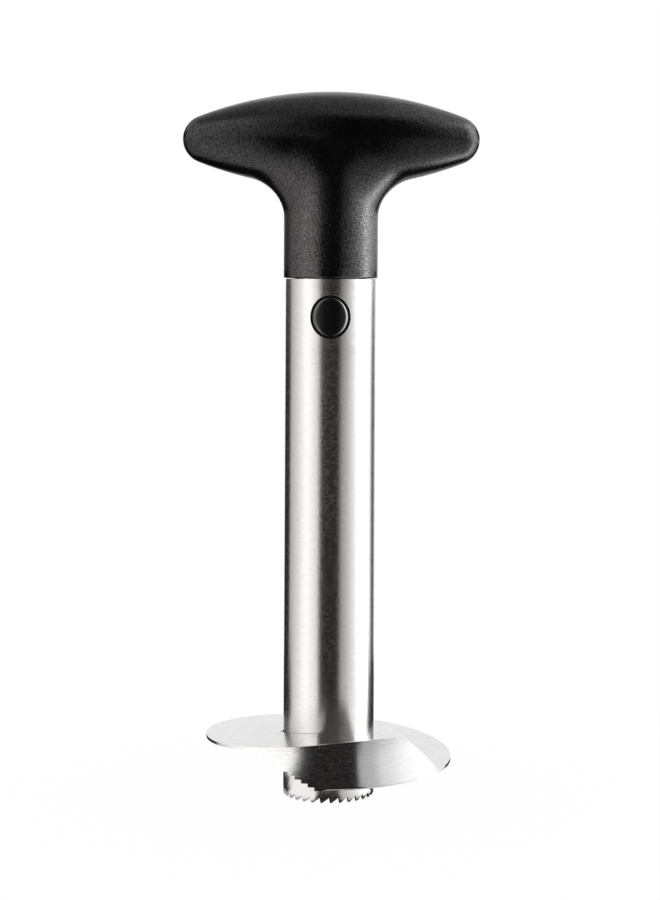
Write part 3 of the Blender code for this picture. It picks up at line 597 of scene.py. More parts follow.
def button_gloss():
    """Satin black face with a polished rim, told apart by the distance from the button's axis."""
    n = Surface("button_gloss")
    cloud = n.noise(160.0, 4.0)
    oval = n.vector('MULTIPLY_ADD', n.place, (1 / BUTTON_HALF_WIDTH, 0.0, 1 / BUTTON_HALF_TALL),
                    (0.0, 0.0, -BUTTON_HEIGHT / BUTTON_HALF_TALL))
    return n.finish(
        n.noise(1500.0), 0.05, 0.00005,
        Base_Color=n.blend(cloud, (0.0012, 0.0012, 0.0012), (0.0022, 0.0022, 0.0022)),
        Roughness=n.span(cloud, 0.24, 0.30),
        Coat_Weight=n.span(n.vector('LENGTH', oval), 0.0, 1.0, 0.74, 0.92),
        Coat_Roughness=0.08, Coat_IOR=2.05)


def drawn_steel(name, dark, light, roughness, scale):
    n = Surface(name)
    marks = n.noise(scale, 4.0)
    return n.finish(
        marks, 0.12, 0.00004, Metallic=1.0, Base_Color=n.blend(marks, dark, light),
        Roughness=n.span(marks, roughness - 0.05, roughness + 0.08))


# Tube

def tooth_profile(turn_share):
    """Height of the tube's foot at a share of one tooth, from its tip on the left."""
    rise = 1 - TOOTH_FACE_SHARE
    if turn_share <= rise:
        return TOOTH_HEIGHT * turn_share / rise
    return TOOTH_HEIGHT * (1 - turn_share) / TOOTH_FACE_SHARE


def column_angle(i):
    """Angle of a column of the tube's mesh, which has one at each tooth's tip and root."""
    tooth, step = divmod(i, len(COLUMN_SHARES))
    return TOOTH_TURN + (tooth + COLUMN_SHARES[step]) * TURN / TOOTH_COUNT


def foot_profile():
    return [tooth_profile(share) for share in COLUMN_SHARES] * TOOTH_COUNT


def tube_shell(bm, depth, hole_rim, foot_lift, top_drop):
    """One skin of the tube, laid out by angle and height, with a rounded patch round each hole."""
    foot_heights = foot_profile()
    count = len(foot_heights)
    angles = [column_angle(i) for i in range(count)]
    patch_low = BUTTON_HEIGHT - HOLE_PATCH_HALF_TALL
    rows = [None, *TUBE_ROWS]
    first = len(rows)
    last = first + HOLE_PATCH_ROWS
    rows += [patch_low + 2 * HOLE_PATCH_HALF_TALL * i / HOLE_PATCH_ROWS
             for i in range(HOLE_PATCH_ROWS + 1)]
    rows.append(TUBE_TOP - top_drop)
    radius = TUBE_RADIUS - depth
    half = HOLE_PATCH_COLUMNS
    places = (0.0, pi)
    centres = [min(range(count), key=lambda i: abs(remainder(angles[i] - place, TURN)))
               for place in places]

    def offset(i):
        """Columns from the nearest hole's middle."""
        return min(((i - centre + count // 2) % count - count // 2 for centre in centres), key=abs)

    grid = {}
    for i in range(count):
        for k, height in enumerate(rows):
            if abs(offset(i)) >= half or not first < k < last:
                height = height or foot_heights[i] + foot_lift
                grid[i, k] = bm.verts.new(polar(angles[i], radius, height))
    for i in range(count):
        j = (i + 1) % count
        beside = max(abs(offset(i)), abs(offset(j))) > half
        for k in range(len(rows) - 1):
            if beside or not first <= k < last:
                bm.faces.new((grid[i, k], grid[j, k], grid[j, k + 1], grid[i, k + 1]))
    holes = []
    for centre, place in zip(centres, places):
        keys = border(centre + half, centre - half, first, last)
        ring = [grid[i % count, k] for i, k in keys]
        spots = []
        for i, k in keys:
            across = remainder(column_angle(i) - place, TURN)
            up = rows[k] - BUTTON_HEIGHT
            swing = atan2(up, across * TUBE_RADIUS)
            x = (BUTTON_HALF_WIDTH + HOLE_CLEARANCE + hole_rim) * cos(swing)
            rise = (BUTTON_HALF_TALL + HOLE_CLEARANCE + hole_rim) * sin(swing)
            spots.append((across, up, asin(x / TUBE_RADIUS), rise))
        for step in range(1, HOLE_PATCH_RINGS + 1):
            part = step / HOLE_PATCH_RINGS
            part = part * (2 - part)
            ring = extend(bm, ring, [
                polar(place + across + (edge - across) * part, radius,
                      BUTTON_HEIGHT + up + (rise - up) * part)
                for across, up, edge, rise in spots])
        holes.append((ring, [(place + edge, BUTTON_HEIGHT + rise) for _, _, edge, rise in spots]))
    foot, top = ([grid[i, k] for i in range(count)] for k in (0, len(rows) - 1))
    return foot, top, holes


def build_tube(material):
    bm = bmesh.new()
    foot, top, holes = tube_shell(bm, 0.0, HOLE_EDGE, TOOTH_GRIND, TUBE_EDGE)
    inner_foot, inner_top, inner_holes = tube_shell(bm, TUBE_WALL, 0.0, 0.0, 0.0)
    heights = foot_profile()
    angles = [column_angle(i) for i in range(len(heights))]
    ground = ring_of(bm, [polar(angle, TUBE_RADIUS - TOOTH_GRIND_DEPTH, height)
                          for angle, height in zip(angles, heights)])
    bridge_rings(bm, ground, foot)
    bridge_rings(bm, ground, inner_foot)
    rim = ring_of(bm, [polar(angle, TUBE_RADIUS - TUBE_EDGE, TUBE_TOP) for angle in angles])
    bridge_rings(bm, top, rim)
    bridge_rings(bm, rim, inner_top)
    for (ring, _), (inner, places) in zip(holes, inner_holes):
        edge = ring_of(bm, [polar(angle, TUBE_RADIUS - HOLE_EDGE, height)
                            for angle, height in places])
        bridge_rings(bm, ring, edge)
        bridge_rings(bm, edge, inner)
    settle(as_object("saw_tube", bm), "tube", "tube_steel", material, "core_tube")


# Blade

def height_share(share, column):
    """Smooth curve through the blade's height shares (Catmull-Rom between the rows)."""
    rows = BLADE_HEIGHT_SHARES
    last = len(rows) - 1
    k = 0
    while k < last - 1 and share > rows[k + 1][0]:
        k += 1
    before, after = max(k - 1, 0), min(k + 2, last)
    start, end = rows[k], rows[k + 1]
    width = end[0] - start[0]
    slope_in = (end[column] - rows[before][column]) / (end[0] - rows[before][0])
    slope_out = (rows[after][column] - start[column]) / (rows[after][0] - start[0])
    t = min(max((share - start[0]) / width, 0.0), 1.0)
    rise = (2 * t**3 - 3 * t**2 + 1) * start[column] + (3 * t**2 - 2 * t**3) * end[column]
    bend = (t**3 - 2 * t**2 + t) * slope_in * width + (t**3 - t**2) * slope_out * width
    return rise + bend


def blade_angle(share, radius):
    start = -asin((SLIT_OFFSET + SLIT_WIDTH / 2) / radius)
    end = -TURN - asin((SLIT_OFFSET - SLIT_WIDTH / 2) / radius)
    return start + share * (end - start)


def blade_share(angle, radius=BLADE_RADIUS):
    """Share of the blade's turn at an angle, counted down from its upper end."""
    start = blade_angle(0, radius)
    return (angle - start) / (blade_angle(1, radius) - start)


def blade_top(share, radius):
    across = (radius - HUB_RADIUS) / (BLADE_RADIUS - HUB_RADIUS)
    hub = height_share(share, 2)
    rim = height_share(share, 1)
    return BLADE_LEAD_HEIGHT + BLADE_DROP * (hub + (rim - hub) * across)


def sheet_thickness(share, radius):
    distance = (1 - share) * TURN * radius
    ground = min(distance / BEVEL_LENGTH, 1.0)
    return EDGE_THICKNESS + (SHEET - EDGE_THICKNESS) * ground


def blade_hub(angle):
    along = HUB_RADIUS * (angle - RELIEF_ANGLE)
    return HUB_RADIUS + sqrt(max(RELIEF_RADIUS**2 - along**2, 0.0))


def wall_tip_angle():
    return blade_angle(1, BLADE_RADIUS) + TURN


def wall_top(angle):
    start_angle = blade_angle(0, BLADE_RADIUS)
    start_height = blade_top(0, BLADE_RADIUS)

    def arch(place):
        swing = pi / 2 * (place - start_angle) / WALL_ARCH_ANGLE
        return start_height + WALL_ARCH * sin(swing)

    corner = arch(WALL_BACK_TOP_ANGLE)
    foot = blade_top(blade_share(WALL_BACK_FOOT_ANGLE - TURN), BLADE_RADIUS)
    part = (angle - WALL_BACK_TOP_ANGLE) / (WALL_BACK_FOOT_ANGLE - WALL_BACK_TOP_ANGLE)
    slope = corner + (foot - corner) * part
    near = max(WALL_CORNER_SOFTNESS - abs(arch(angle) - slope), 0.0)
    return min(arch(angle), slope) - near**2 / (4 * WALL_CORNER_SOFTNESS)


def blade_stations():
    wall_share = blade_share(WALL_BACK_FOOT_ANGLE - TURN)
    shares = [END_EASE_SHARE]
    for i in range(BLADE_STEPS):
        share = wall_share * i / BLADE_STEPS
        if blade_hub(blade_angle(share, HUB_RADIUS)) == HUB_RADIUS:
            shares.append(share)
    for i in range(RELIEF_STEPS + 1):
        along = RELIEF_RADIUS * cos(pi * i / RELIEF_STEPS)
        shares.append(blade_share(RELIEF_ANGLE + along / HUB_RADIUS, HUB_RADIUS))
    tip = wall_tip_angle()
    marks = (WALL_BACK_FOOT_ANGLE, WALL_BACK_TOP_ANGLE + WALL_CORNER_SPAN,
             WALL_BACK_TOP_ANGLE - WALL_CORNER_SPAN, tip + BEVEL_LENGTH / BLADE_RADIUS, tip)
    for mark, following, steps in zip(marks, marks[1:], WALL_COLUMN_STEPS):
        shares += [blade_share(mark + (following - mark) * i / steps - TURN) for i in range(steps)]
    return sorted([*shares, 1.0])


def blade_section(bm, share):
    """Corners across the sheet, with the wall's fold rounded on its outer side."""
    rim_angle = blade_angle(share, BLADE_RADIUS)
    hub = blade_hub(blade_angle(share, HUB_RADIUS))
    ease = END_EASE if share == 0.0 else 0.0

    def corner(radius, height, angle=rim_angle):
        return bm.verts.new(polar(angle, radius, height))

    top, under = [], []
    for i in range(BLADE_RADIAL_STEPS + 1):
        radius = hub + i / BLADE_RADIAL_STEPS * (WALL_INNER_RADIUS - hub)
        angle, thickness = blade_angle(share, radius), sheet_thickness(share, radius)
        if i == BLADE_RADIAL_STEPS:
            angle, thickness = rim_angle, SHEET
        height = blade_top(share, radius)
        top.append(corner(radius, height - ease, angle))
        under.append(corner(radius, height - thickness, angle))
    rim = blade_top(share, BLADE_RADIUS)
    low = rim - SHEET
    along = (share - blade_share(WALL_BACK_FOOT_ANGLE - TURN)) * TURN * BLADE_RADIUS
    ahead = (1 - share) * TURN * BLADE_RADIUS
    fold = FOLD_SHARE * SHEET * smooth_step(along / FOLD_RUN) * smooth_step(ahead / FOLD_RUN)
    side = corner(BLADE_RADIUS, rim - ease)
    if fold > WELD_DISTANCE:
        bend = [corner(BLADE_RADIUS - fold + fold * cos(swing), low + fold - fold * sin(swing))
                for swing in quarter_turn(FOLD_POINTS)]
    else:
        bend = [corner(BLADE_RADIUS, low)] * (FOLD_POINTS + 1)
    wall = [top[-1], side]
    if along > WELD_DISTANCE:
        height = wall_top(rim_angle + TURN)
        wall = [corner(radius, height) for radius in (WALL_INNER_RADIUS, BLADE_RADIUS)]
    return top + wall + [side] + bend + under[::-1]


def distinct(corners):
    return list(dict.fromkeys(corners))


def upright_sheet(bm, columns, inner, outer, joint_height):
    """A curved upright sheet. Each column is (angle, low_before, low_after, top_before, top_after).

    Its last column is left open, with a corner at the joint height too, to be welded on.
    """
    sides_at = []
    for angle, *ends in columns:
        heights = sorted({*ends, joint_height} if len(sides_at) == len(columns) - 1 else {*ends})
        sides_at.append([{z: bm.verts.new(polar(angle, radius, z)) for z in heights}
                         for radius in (outer, inner)])
    for i, (left, right) in enumerate(zip(columns, columns[1:])):
        left_ends, right_ends = (left[2], left[4]), (right[1], right[3])
        here, there = sides_at[i], sides_at[i + 1]
        for before, after in zip(here, there):
            rim = [before[z] for z in before if left_ends[0] <= z <= left_ends[1]]
            rim += [after[z] for z in reversed(after) if right_ends[0] <= z <= right_ends[1]]
            bm.faces.new(rim)
        for z_left, z_right in zip(left_ends, right_ends):
            bm.faces.new((here[0][z_left], there[0][z_right], there[1][z_right], here[1][z_left]))
    for i, (angle, low_before, low_after, top_before, top_after) in enumerate(columns[:-1]):
        outside, inside = sides_at[i]
        heights = list(outside)
        for low, high in zip(heights, heights[1:]):
            in_before = i > 0 and low_before <= low and high <= top_before
            in_after = low_after <= low and high <= top_after
            if in_before != in_after:
                bm.faces.new((outside[low], outside[high], inside[high], inside[low]))


def under_sheet(angle):
    """Height of the upper end's underside along the rim, over the sawn part of the wall."""
    return blade_top(blade_share(angle), BLADE_RADIUS) - SHEET


def saw_columns():
    foot = blade_top(1, BLADE_RADIUS) - SHEET
    rise_angle = blade_angle(0, BLADE_RADIUS) + SEAM / BLADE_RADIUS
    lead_height = under_sheet(WALL_LEAD_ANGLE)
    step_angle = (wall_tip_angle() - WALL_LEAD_ANGLE) / WALL_SAW_STEPS
    step_height = (lead_height - foot) / WALL_SAW_STEPS
    columns = []
    for i in range(WALL_SAW_STEPS):
        last = i == WALL_SAW_STEPS - 1
        angle = WALL_LEAD_ANGLE + i * step_angle
        before = lead_height - i * step_height
        after = foot if last else before - step_height
        end = rise_angle if last else angle + step_angle
        for k in range(SAW_STEP_DIVISIONS):
            place = angle + (end - angle) * k / SAW_STEP_DIVISIONS
            top = under_sheet(place) - SEAM
            columns.append((place, after if k else before, after, top, top))
    top = under_sheet(rise_angle) - SEAM
    columns.append((rise_angle, foot, foot, top, wall_top(rise_angle)))
    tip = wall_top(wall_tip_angle())
    columns.append((wall_tip_angle(), foot, foot, tip, tip))
    return columns


def mark_sharp_edges(bm):
    """Mark the edges to be eased, all but those that meet round the blade's upper end."""
    bmesh.ops.recalc_face_normals(bm, faces=bm.faces)
    layer = bm.edges.layers.float.new("bevel_weight_edge")
    trail = blade_angle(0, BLADE_RADIUS)
    near = SEAM / BLADE_RADIUS

    def in_seam(angle, out, height):
        in_span = WALL_LEAD_ANGLE - SEAM < angle < trail + 2 * near
        on_wall = out > WALL_INNER_RADIUS - SEAM
        return in_span and on_wall and abs(height - under_sheet(angle)) < 2 * SEAM

    def at_slit(angle, out, _):
        return abs(angle - trail) < 3 * near and out > BLADE_RADIUS - SEAM

    for edge in bm.edges:
        if len(edge.link_faces) == 2 and edge.calc_face_angle() > SHARP_ANGLE:
            ends = [(atan2(vert.co.x, -vert.co.y), vert.co.xy.length, vert.co.z)
                    for vert in edge.verts]
            if not any(all(meets(*end) for end in ends) for meets in (in_seam, at_slit)):
                edge[layer] = 1.0


def build_blade(material):
    bm = bmesh.new()
    sections = [blade_section(bm, share) for share in blade_stations()]
    for first, second in zip(sections, sections[1:]):
        for i in range(len(first)):
            j = (i + 1) % len(first)
            corners = distinct((first[i], first[j], second[j], second[i]))
            if len(corners) > 2:
                bm.faces.new(corners)
    bm.faces.new(distinct(sections[0]))
    across = BLADE_RADIAL_STEPS + 1
    bm.faces.new(sections[-1][:across] + sections[-1][-across:])
    upright_sheet(bm, saw_columns(), WALL_INNER_RADIUS, BLADE_RADIUS, blade_top(1, BLADE_RADIUS))
    bmesh.ops.remove_doubles(bm, verts=bm.verts, dist=WELD_DISTANCE)
    mark_sharp_edges(bm)
    blade = as_object("turned_blade", bm)
    soften(blade, BLADE_EDGE, 'WEIGHT')
    settle(blade, "tube", "blade_steel", material, "spiral_blade")


def build_weld(name, node, centre_angle, material):
    """A rippled bead in the corner under the blade."""
    sections = []
    for i in range(WELD_STEPS + 1):
        part = i / WELD_STEPS
        angle = centre_angle + WELD_SPAN * (0.5 - part)
        top = blade_top(blade_share(angle, HUB_RADIUS), HUB_RADIUS) - SHEET - GAP
        ripple = 0.90 + 0.08 * cos(part * pi * WELD_RIPPLES)
        size = WELD_LEG * ripple * sqrt(max(1 - (2 * part - 1)**8, 0.04))
        section = [polar(angle, HUB_RADIUS, top)]
        for swing in quarter_turn(WELD_ARC):
            bulge = size * (1 - 0.24 * sin(2 * swing))
            section.append(polar(angle, HUB_RADIUS + bulge * sin(swing), top - bulge * cos(swing)))
        sections.append(section)
    settle(lofted(name, sections, 50), "tube", "weld_steel", material, node)


# Handle

def bar_arcs(inset):
    """The bar's profile: its long arc's radius and drop, and its end ball's radius and place."""
    arc = BAR_ARC_RADIUS - inset
    drop = arc - (BAR_RADIUS - inset)
    length = BAR_HALF_LENGTH - inset
    ball = (arc**2 - drop**2 - length**2) / (2 * (arc - length))
    return arc, drop, ball, length - ball


def bar_distance(x, off_axis, inset):
    arc, drop, ball, ball_x = bar_arcs(inset)
    x = abs(x)
    if off_axis * ball_x < (x - ball_x) * drop:
        return hypot(x - ball_x, off_axis) - ball
    return hypot(x, off_axis + drop) - arc


def handle_distance(point, inset):
    off_axis = hypot(point.y, point.z - BAR_HEIGHT)
    bar = bar_distance(point.x, off_axis, inset)
    out = hypot(point.x, point.y)
    rise = max(point.z - BAR_HEIGHT, 0.0)
    beside = out - (NECK_RADIUS - inset)
    neck = beside if rise == 0 else hypot(max(beside, 0.0), rise)
    alike = point.y**2 / max(off_axis * out, GAP**2)
    fillet = CHEEK_FILLET + (NECK_FILLET + inset - CHEEK_FILLET) * (1 - min(alike, 1.0))
    joined = hypot(max(fillet - bar, 0.0), max(fillet - neck, 0.0))
    return max(fillet, min(bar, neck)) - joined


def onto_handle(point, inset):
    centre = Vector((0.0, 0.0, BAR_HEIGHT))
    ray = (Vector(point) - centre).normalized()
    near, far = 0.0, 2 * BAR_HALF_LENGTH
    for _ in range(HALVINGS):
        middle = (near + far) / 2
        if handle_distance(centre + ray * middle, inset) > 0:
            far = middle
        else:
            near = middle
    return centre + ray * near


def bar_point(x, angle, inset):
    arc, drop, ball, ball_x = bar_arcs(inset)
    if abs(x) > ball_x * arc / (arc - ball):
        off_axis = sqrt(max(ball**2 - (abs(x) - ball_x)**2, 0.0))
    else:
        off_axis = sqrt(arc**2 - x**2) - drop
    return Vector((x, -off_axis * sin(angle), BAR_HEIGHT - off_axis * cos(angle)))


def bar_stations(inset):
    quarter = GRIP_SIDES // 4
    patch = PATCH_HALF_LENGTH
    middle = [patch * (2 * i / quarter - 1) for i in range(quarter + 1)]
    reach = BAR_HALF_LENGTH - inset - patch
    beyond = [patch + reach * sin(swing) for swing in quarter_turn(GRIP_END_RINGS)[1:-1]]
    return [-x for x in reversed(beyond)] + middle + beyond


def handle_surface(bm, inset):
    """The T shape at an inset from the outer skin. Returns its ring at the neck's shoulder."""
    stations = bar_stations(inset)
    quarter = GRIP_SIDES // 4
    half_patch = quarter // 2
    first = GRIP_END_RINGS - 1
    last = first + quarter
    step = TURN / GRIP_SIDES
    order = [j if j <= GRIP_SIDES // 2 else j - GRIP_SIDES for j in range(GRIP_SIDES)]
    pairs = list(zip(order, order[1:] + order[:1]))
    grid = {}
    for i, x in enumerate(stations):
        for around in order:
            if not (first < i < last and abs(around) < half_patch):
                point = onto_handle(bar_point(x, around * step, inset), inset)
                grid[i, around] = bm.verts.new(point)
    for i in range(len(stations) - 1):
        for a, b in pairs:
            if not (first <= i < last and max(abs(a), abs(b)) <= half_patch):
                bm.faces.new((grid[i, a], grid[i + 1, a], grid[i + 1, b], grid[i, b]))
    for i, sign in ((0, -1), (len(stations) - 1, 1)):
        pole = bm.verts.new((sign * (BAR_HALF_LENGTH - inset), 0.0, BAR_HEIGHT))
        for a, b in pairs:
            bm.faces.new((grid[i, a], grid[i, b], pole))
    ring = [grid[key] for key in border(last, first, half_patch, -half_patch)]
    starts = [vert.co.copy() for vert in ring]
    ends = circle_at_neck(NECK_RADIUS - inset, NECK_BASE + NECK_STRAIGHT)
    for i in range(1, GRIP_PATCH_RINGS + 1):
        part = i / GRIP_PATCH_RINGS
        ring = extend(bm, ring, [onto_handle(start.lerp(end, part), inset)
                                 for start, end in zip(starts, ends)])
    return ring


def circle_at_neck(radius, height):
    step = TURN / GRIP_SIDES
    angles = [k * step - pi / 4 for k in range(GRIP_SIDES)]
    return [Vector((radius * cos(a), radius * sin(a), height)) for a in angles]


def build_grip(material):
    bm = bmesh.new()
    ring = handle_surface(bm, 0.0)
    for i in range(1, NECK_RINGS + 1):
        height = NECK_BASE + NECK_EDGE + (NECK_STRAIGHT - NECK_EDGE) * (1 - i / NECK_RINGS)
        ring = extend(bm, ring, circle_at_neck(NECK_RADIUS, height))
    for swing in quarter_turn(FOLD_POINTS)[1:]:
        radius = NECK_RADIUS - NECK_EDGE * (1 - cos(swing))
        ring = extend(bm, ring, circle_at_neck(radius, NECK_BASE + NECK_EDGE * (1 - sin(swing))))
    inner = handle_surface(bm, GRIP_THICKNESS)
    foot = extend(bm, inner, circle_at_neck(NECK_RADIUS - GRIP_THICKNESS, NECK_BASE))
    bridge_rings(bm, foot, ring)
    settle(as_object("moulded_grip", bm, crease=60), "handle", "grip_black", material, "grip_skin")


# Plug, cap, buttons, springs and screws

def oval_ring(half_width, half_tall, depth_at):
    ring = []
    for i in range(BUTTON_SIDES):
        angle = TURN * i / BUTTON_SIDES
        x = half_width * cos(angle)
        ring.append((x, -depth_at(x), BUTTON_HEIGHT + half_tall * sin(angle)))
    return ring


def oval_bar(half_width, half_tall, reach):
    ends = [oval_ring(half_width, half_tall, lambda x, y=y: y) for y in (reach, -reach)]
    return lofted("bar", ends)


def block(half_x, half_y, low, high):
    corners = ((half_x, half_y), (-half_x, half_y), (-half_x, -half_y), (half_x, -half_y))
    return lofted("block", [[(x, y, z) for x, y in corners] for z in (low, high)])


def turned(name, rings):
    return lofted(name, [circle_ring(radius, height, ROUND_SIDES) for radius, height in rings])


def bore(target, *holes):
    """Cut the round holes, each (radius, low, high), for both screws."""
    for side in (-1, 1):
        for radius, low, high in holes:
            rings = [circle_ring(radius + GAP, z, SMALL_SIDES, side * SCREW_OFFSET)
                     for z in (low, high)]
            cut(target, lofted("bore", rings))


def build_plug(material):
    chamfer = 0.0005
    tip = PLUG_TOP + SPIGOT_LENGTH
    plug = turned("tube_plug", (
        (PLUG_RADIUS - chamfer, PLUG_BOTTOM), (PLUG_RADIUS, PLUG_BOTTOM + chamfer),
        (PLUG_RADIUS, PLUG_TOP - chamfer), (PLUG_RADIUS - chamfer, PLUG_TOP),
        (SPIGOT_RADIUS, PLUG_TOP), (SPIGOT_RADIUS, tip - chamfer), (SPIGOT_RADIUS - chamfer, tip),
    ))
    flange = BUTTON_HEIGHT + BUTTON_HALF_TALL + FLANGE_RIM + GAP
    half_x = BUTTON_HALF_WIDTH + FLANGE_RIM + GAP
    cut(plug, block(half_x, CHAMBER_HALF_DEPTH, PLUG_BOTTOM - CUT_OVER, flange))
    cut(plug, oval_bar(BUTTON_HALF_WIDTH + GAP, BUTTON_HALF_TALL + GAP, PLUG_RADIUS + CUT_OVER))
    bore(plug, (SCREW_RADIUS, PLUG_BOTTOM - CUT_OVER, PLUG_TOP + CUT_OVER))
    soften(plug, PLUG_EDGE)
    settle(plug, "handle", "plug_black", material, "coupling_plug")


def build_cap(material):
    chamfer = 0.0004
    cap = turned("plug_foot", (
        (PLUG_RADIUS - chamfer, CAP_BOTTOM), (PLUG_RADIUS, CAP_BOTTOM + chamfer),
        (PLUG_RADIUS, CAP_TOP - chamfer / 2), (PLUG_RADIUS - chamfer / 2, CAP_TOP),
    ))
    web_top = BUTTON_HEIGHT + BUTTON_HALF_TALL + FLANGE_RIM
    cut(cap, block(WEB_WIDTH / 2, WEB_THICKNESS / 2, (CAP_BOTTOM + CAP_TOP) / 2, web_top), 'UNION')
    reach = WEB_THICKNESS / 2 + SPRING_POST_LENGTH
    cut(cap, oval_bar(SPRING_POST_RADIUS, SPRING_POST_RADIUS, reach), 'UNION')
    bore(cap, (SCREW_RADIUS, CAP_BOTTOM - CUT_OVER, CAP_TOP + CUT_OVER),
         (SCREW_HEAD_RADIUS, CAP_BOTTOM - CUT_OVER, CAP_BOTTOM + SCREW_HEAD_HEIGHT + GAP))
    soften(cap, PLUG_EDGE)
    settle(cap, "handle", "plug_black", material, "plug_end_cap")


def build_button(name, node, side, body, material):
    """A hollow button whose face follows the tube, with a soft rounded rim."""
    flange_out = CHAMBER_HALF_DEPTH - GAP
    flange_in = flange_out - FLANGE_THICKNESS
    skirt_end = WEB_THICKNESS / 2 + GAP + BUTTON_TRAVEL
    flange_width, flange_tall = BUTTON_HALF_WIDTH + FLANGE_RIM, BUTTON_HALF_TALL + FLANGE_RIM

    def face(x, depth=0.0):
        return sqrt(TUBE_RADIUS**2 - x**2) - depth

    rings = [(BUTTON_HALF_WIDTH * share, BUTTON_HALF_TALL * share, face)
             for share in BUTTON_FACE_SHARES]
    for inward_share, depth_share in BUTTON_RIM_SHARES:
        inward = BUTTON_ROUND * inward_share
        down = inward * BUTTON_ROUND_TALL_SHARE
        rings.append((BUTTON_HALF_WIDTH - inward, BUTTON_HALF_TALL - down,
                      lambda x, depth=BUTTON_ROUND * depth_share: face(x, depth)))
    for half_width, half_tall, depths in (
            (BUTTON_HALF_WIDTH, BUTTON_HALF_TALL, (flange_out,)),
            (flange_width, flange_tall, (flange_out, flange_in)),
            (SKIRT_RADIUS, SKIRT_RADIUS, (flange_in, skirt_end)),
            (POCKET_RADIUS, POCKET_RADIUS, (skirt_end, TUBE_RADIUS - BUTTON_CROWN))):
        rings += [(half_width, half_tall, lambda x, depth=depth: depth) for depth in depths]
    bm = bmesh.new()
    loops = loft_rings(bm, [oval_ring(*ring) for ring in rings], False)
    crown = bm.verts.new((0.0, -TUBE_RADIUS, BUTTON_HEIGHT))
    for i in range(BUTTON_SIDES):
        bm.faces.new((loops[0][(i + 1) % BUTTON_SIDES], loops[0][i], crown))
    bm.faces.new(loops[-1])
    for vert in bm.verts:
        vert.co.x *= side
        vert.co.y *= side
    settle(as_object(name, bm), body, "button_black", material, node)


def build_spring(name, node, side, material):
    """Round wire between the web and the button, drawn at its full length."""
    start = WEB_THICKNESS / 2 + GAP + WIRE_RADIUS
    end = TUBE_RADIUS - BUTTON_CROWN - GAP - WIRE_RADIUS
    count = SPRING_TURNS * SPRING_POINTS_PER_TURN
    middle = SPRING_RADIUS - WIRE_RADIUS
    along = Vector((0.0, -side, 0.0))
    swings = [TURN * k / WIRE_SIDES for k in range(WIRE_SIDES)]
    sections = []
    for i in range(count + 1):
        angle = TURN * i / SPRING_POINTS_PER_TURN
        out = start + (end - start) * i / count
        centre = Vector((side * middle * cos(angle), -side * out,
                         BUTTON_HEIGHT + middle * sin(angle)))
        across = Vector((side * cos(angle), 0.0, sin(angle)))
        sections.append([centre + WIRE_RADIUS * (across * cos(swing) + along * sin(swing))
                         for swing in swings])
    spring = lofted(name, sections, 60)
    settle(spring, "handle", "spring_steel", material, node)
    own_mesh(spring)


def build_screw(name, node, side, material):
    x = side * SCREW_OFFSET
    head_top = CAP_BOTTOM + SCREW_HEAD_HEIGHT
    end = head_top + SCREW_LENGTH
    chamfer = 0.00025

    def socket_ring(height):
        ring = []
        for i in range(SMALL_SIDES):
            angle = TURN * i / SMALL_SIDES
            swing = (angle + pi / 6) % (pi / 3) - pi / 6
            radius = SOCKET_RADIUS * cos(pi / 6) / cos(swing)
            ring.append((x + radius * cos(angle), radius * sin(angle), height))
        return ring

    outline = (
        (SCREW_HEAD_RADIUS - chamfer, CAP_BOTTOM), (SCREW_HEAD_RADIUS, CAP_BOTTOM + chamfer),
        (SCREW_HEAD_RADIUS, head_top), (SCREW_RADIUS, head_top), (SCREW_RADIUS, end - SCREW_RADIUS),
        (SCREW_RADIUS / 2, end),
    )
    rings = [socket_ring(CAP_BOTTOM + SOCKET_DEPTH), socket_ring(CAP_BOTTOM)]
    rings += [circle_ring(radius, height, SMALL_SIDES, x) for radius, height in outline]
    settle(lofted(name, rings), "handle", "screw_steel", material, node)


# Studio

def with_back(levels, back, white=None):
    """A table of levels with a dark edge behind each side, and white between them on request."""
    left, right = back
    rows = [row for row in levels if 1 - left < row[0] < right - 1]
    rows += [(-left, STUDIO_DARK), (right, STUDIO_DARK)]
    if white:
        left, right = white
        rows += [(-left, STUDIO_DARK), (-left - BACK_FADE, BACK_LEVEL)]
        rows += [(right, STUDIO_DARK), (right + BACK_FADE, BACK_LEVEL)]
    return rows


def studio_gradient(name, levels, left_tint=WARM_TINT, skew=0.0):
    """Card brightness by direction round the slicer, from a table of degrees and levels.

    The skew turns the table with the distance from the axis, in radians a metre.
    """
    n = Nodes(bpy.data.materials.new(name), bare=True)
    place = n.add("NewGeometry")["Position"]
    parts = n.add("SeparateXYZ", place)
    angle = n.math('ARCTAN2', parts["X"], n.math('MULTIPLY', parts["Y"], -1.0))
    slant = n.math('MULTIPLY_ADD', n.vector('LENGTH', place), -skew, skew * WALL_SKEW_RADIUS)
    rows = sorted(levels)
    rows = [(-180, rows[0][1]), (180, rows[-1][1])] + [row for row in rows if abs(row[0]) < 180]
    stops = []
    for degrees, level in rows:
        tint = WARM_DARK_TINT if level == STUDIO_DARK else left_tint if degrees < 0 else PLAIN_TINT
        stops.append(((degrees + 180) / 360, [level / STUDIO_PEAK * share for share in tint]))
    turned = n.span(n.math('ADD', angle, slant), 0.0, 1.0, -pi, pi)
    return n.glow(n.ramp(turned, stops), STUDIO_PEAK)


def card(name, arc, lower, upper, material):
    """A curved studio card between two (radius, height) edges, seen in reflections only."""
    start, end = arc
    steps = (end - start) // CARD_STEP
    bm = bmesh.new()
    rings = []
    for radius, height in (lower, upper):
        rings.append(ring_of(bm, [polar(radians(start + (end - start) * i / steps), radius, height)
                                  for i in range(steps + 1)]))
    for i in range(steps):
        bm.faces.new((rings[0][i], rings[0][i + 1], rings[1][i + 1], rings[1][i]))
    item = as_object(name, bm)
    item.data.materials.append(material)
    item.visible_camera = item.visible_diffuse = item.visible_shadow = False


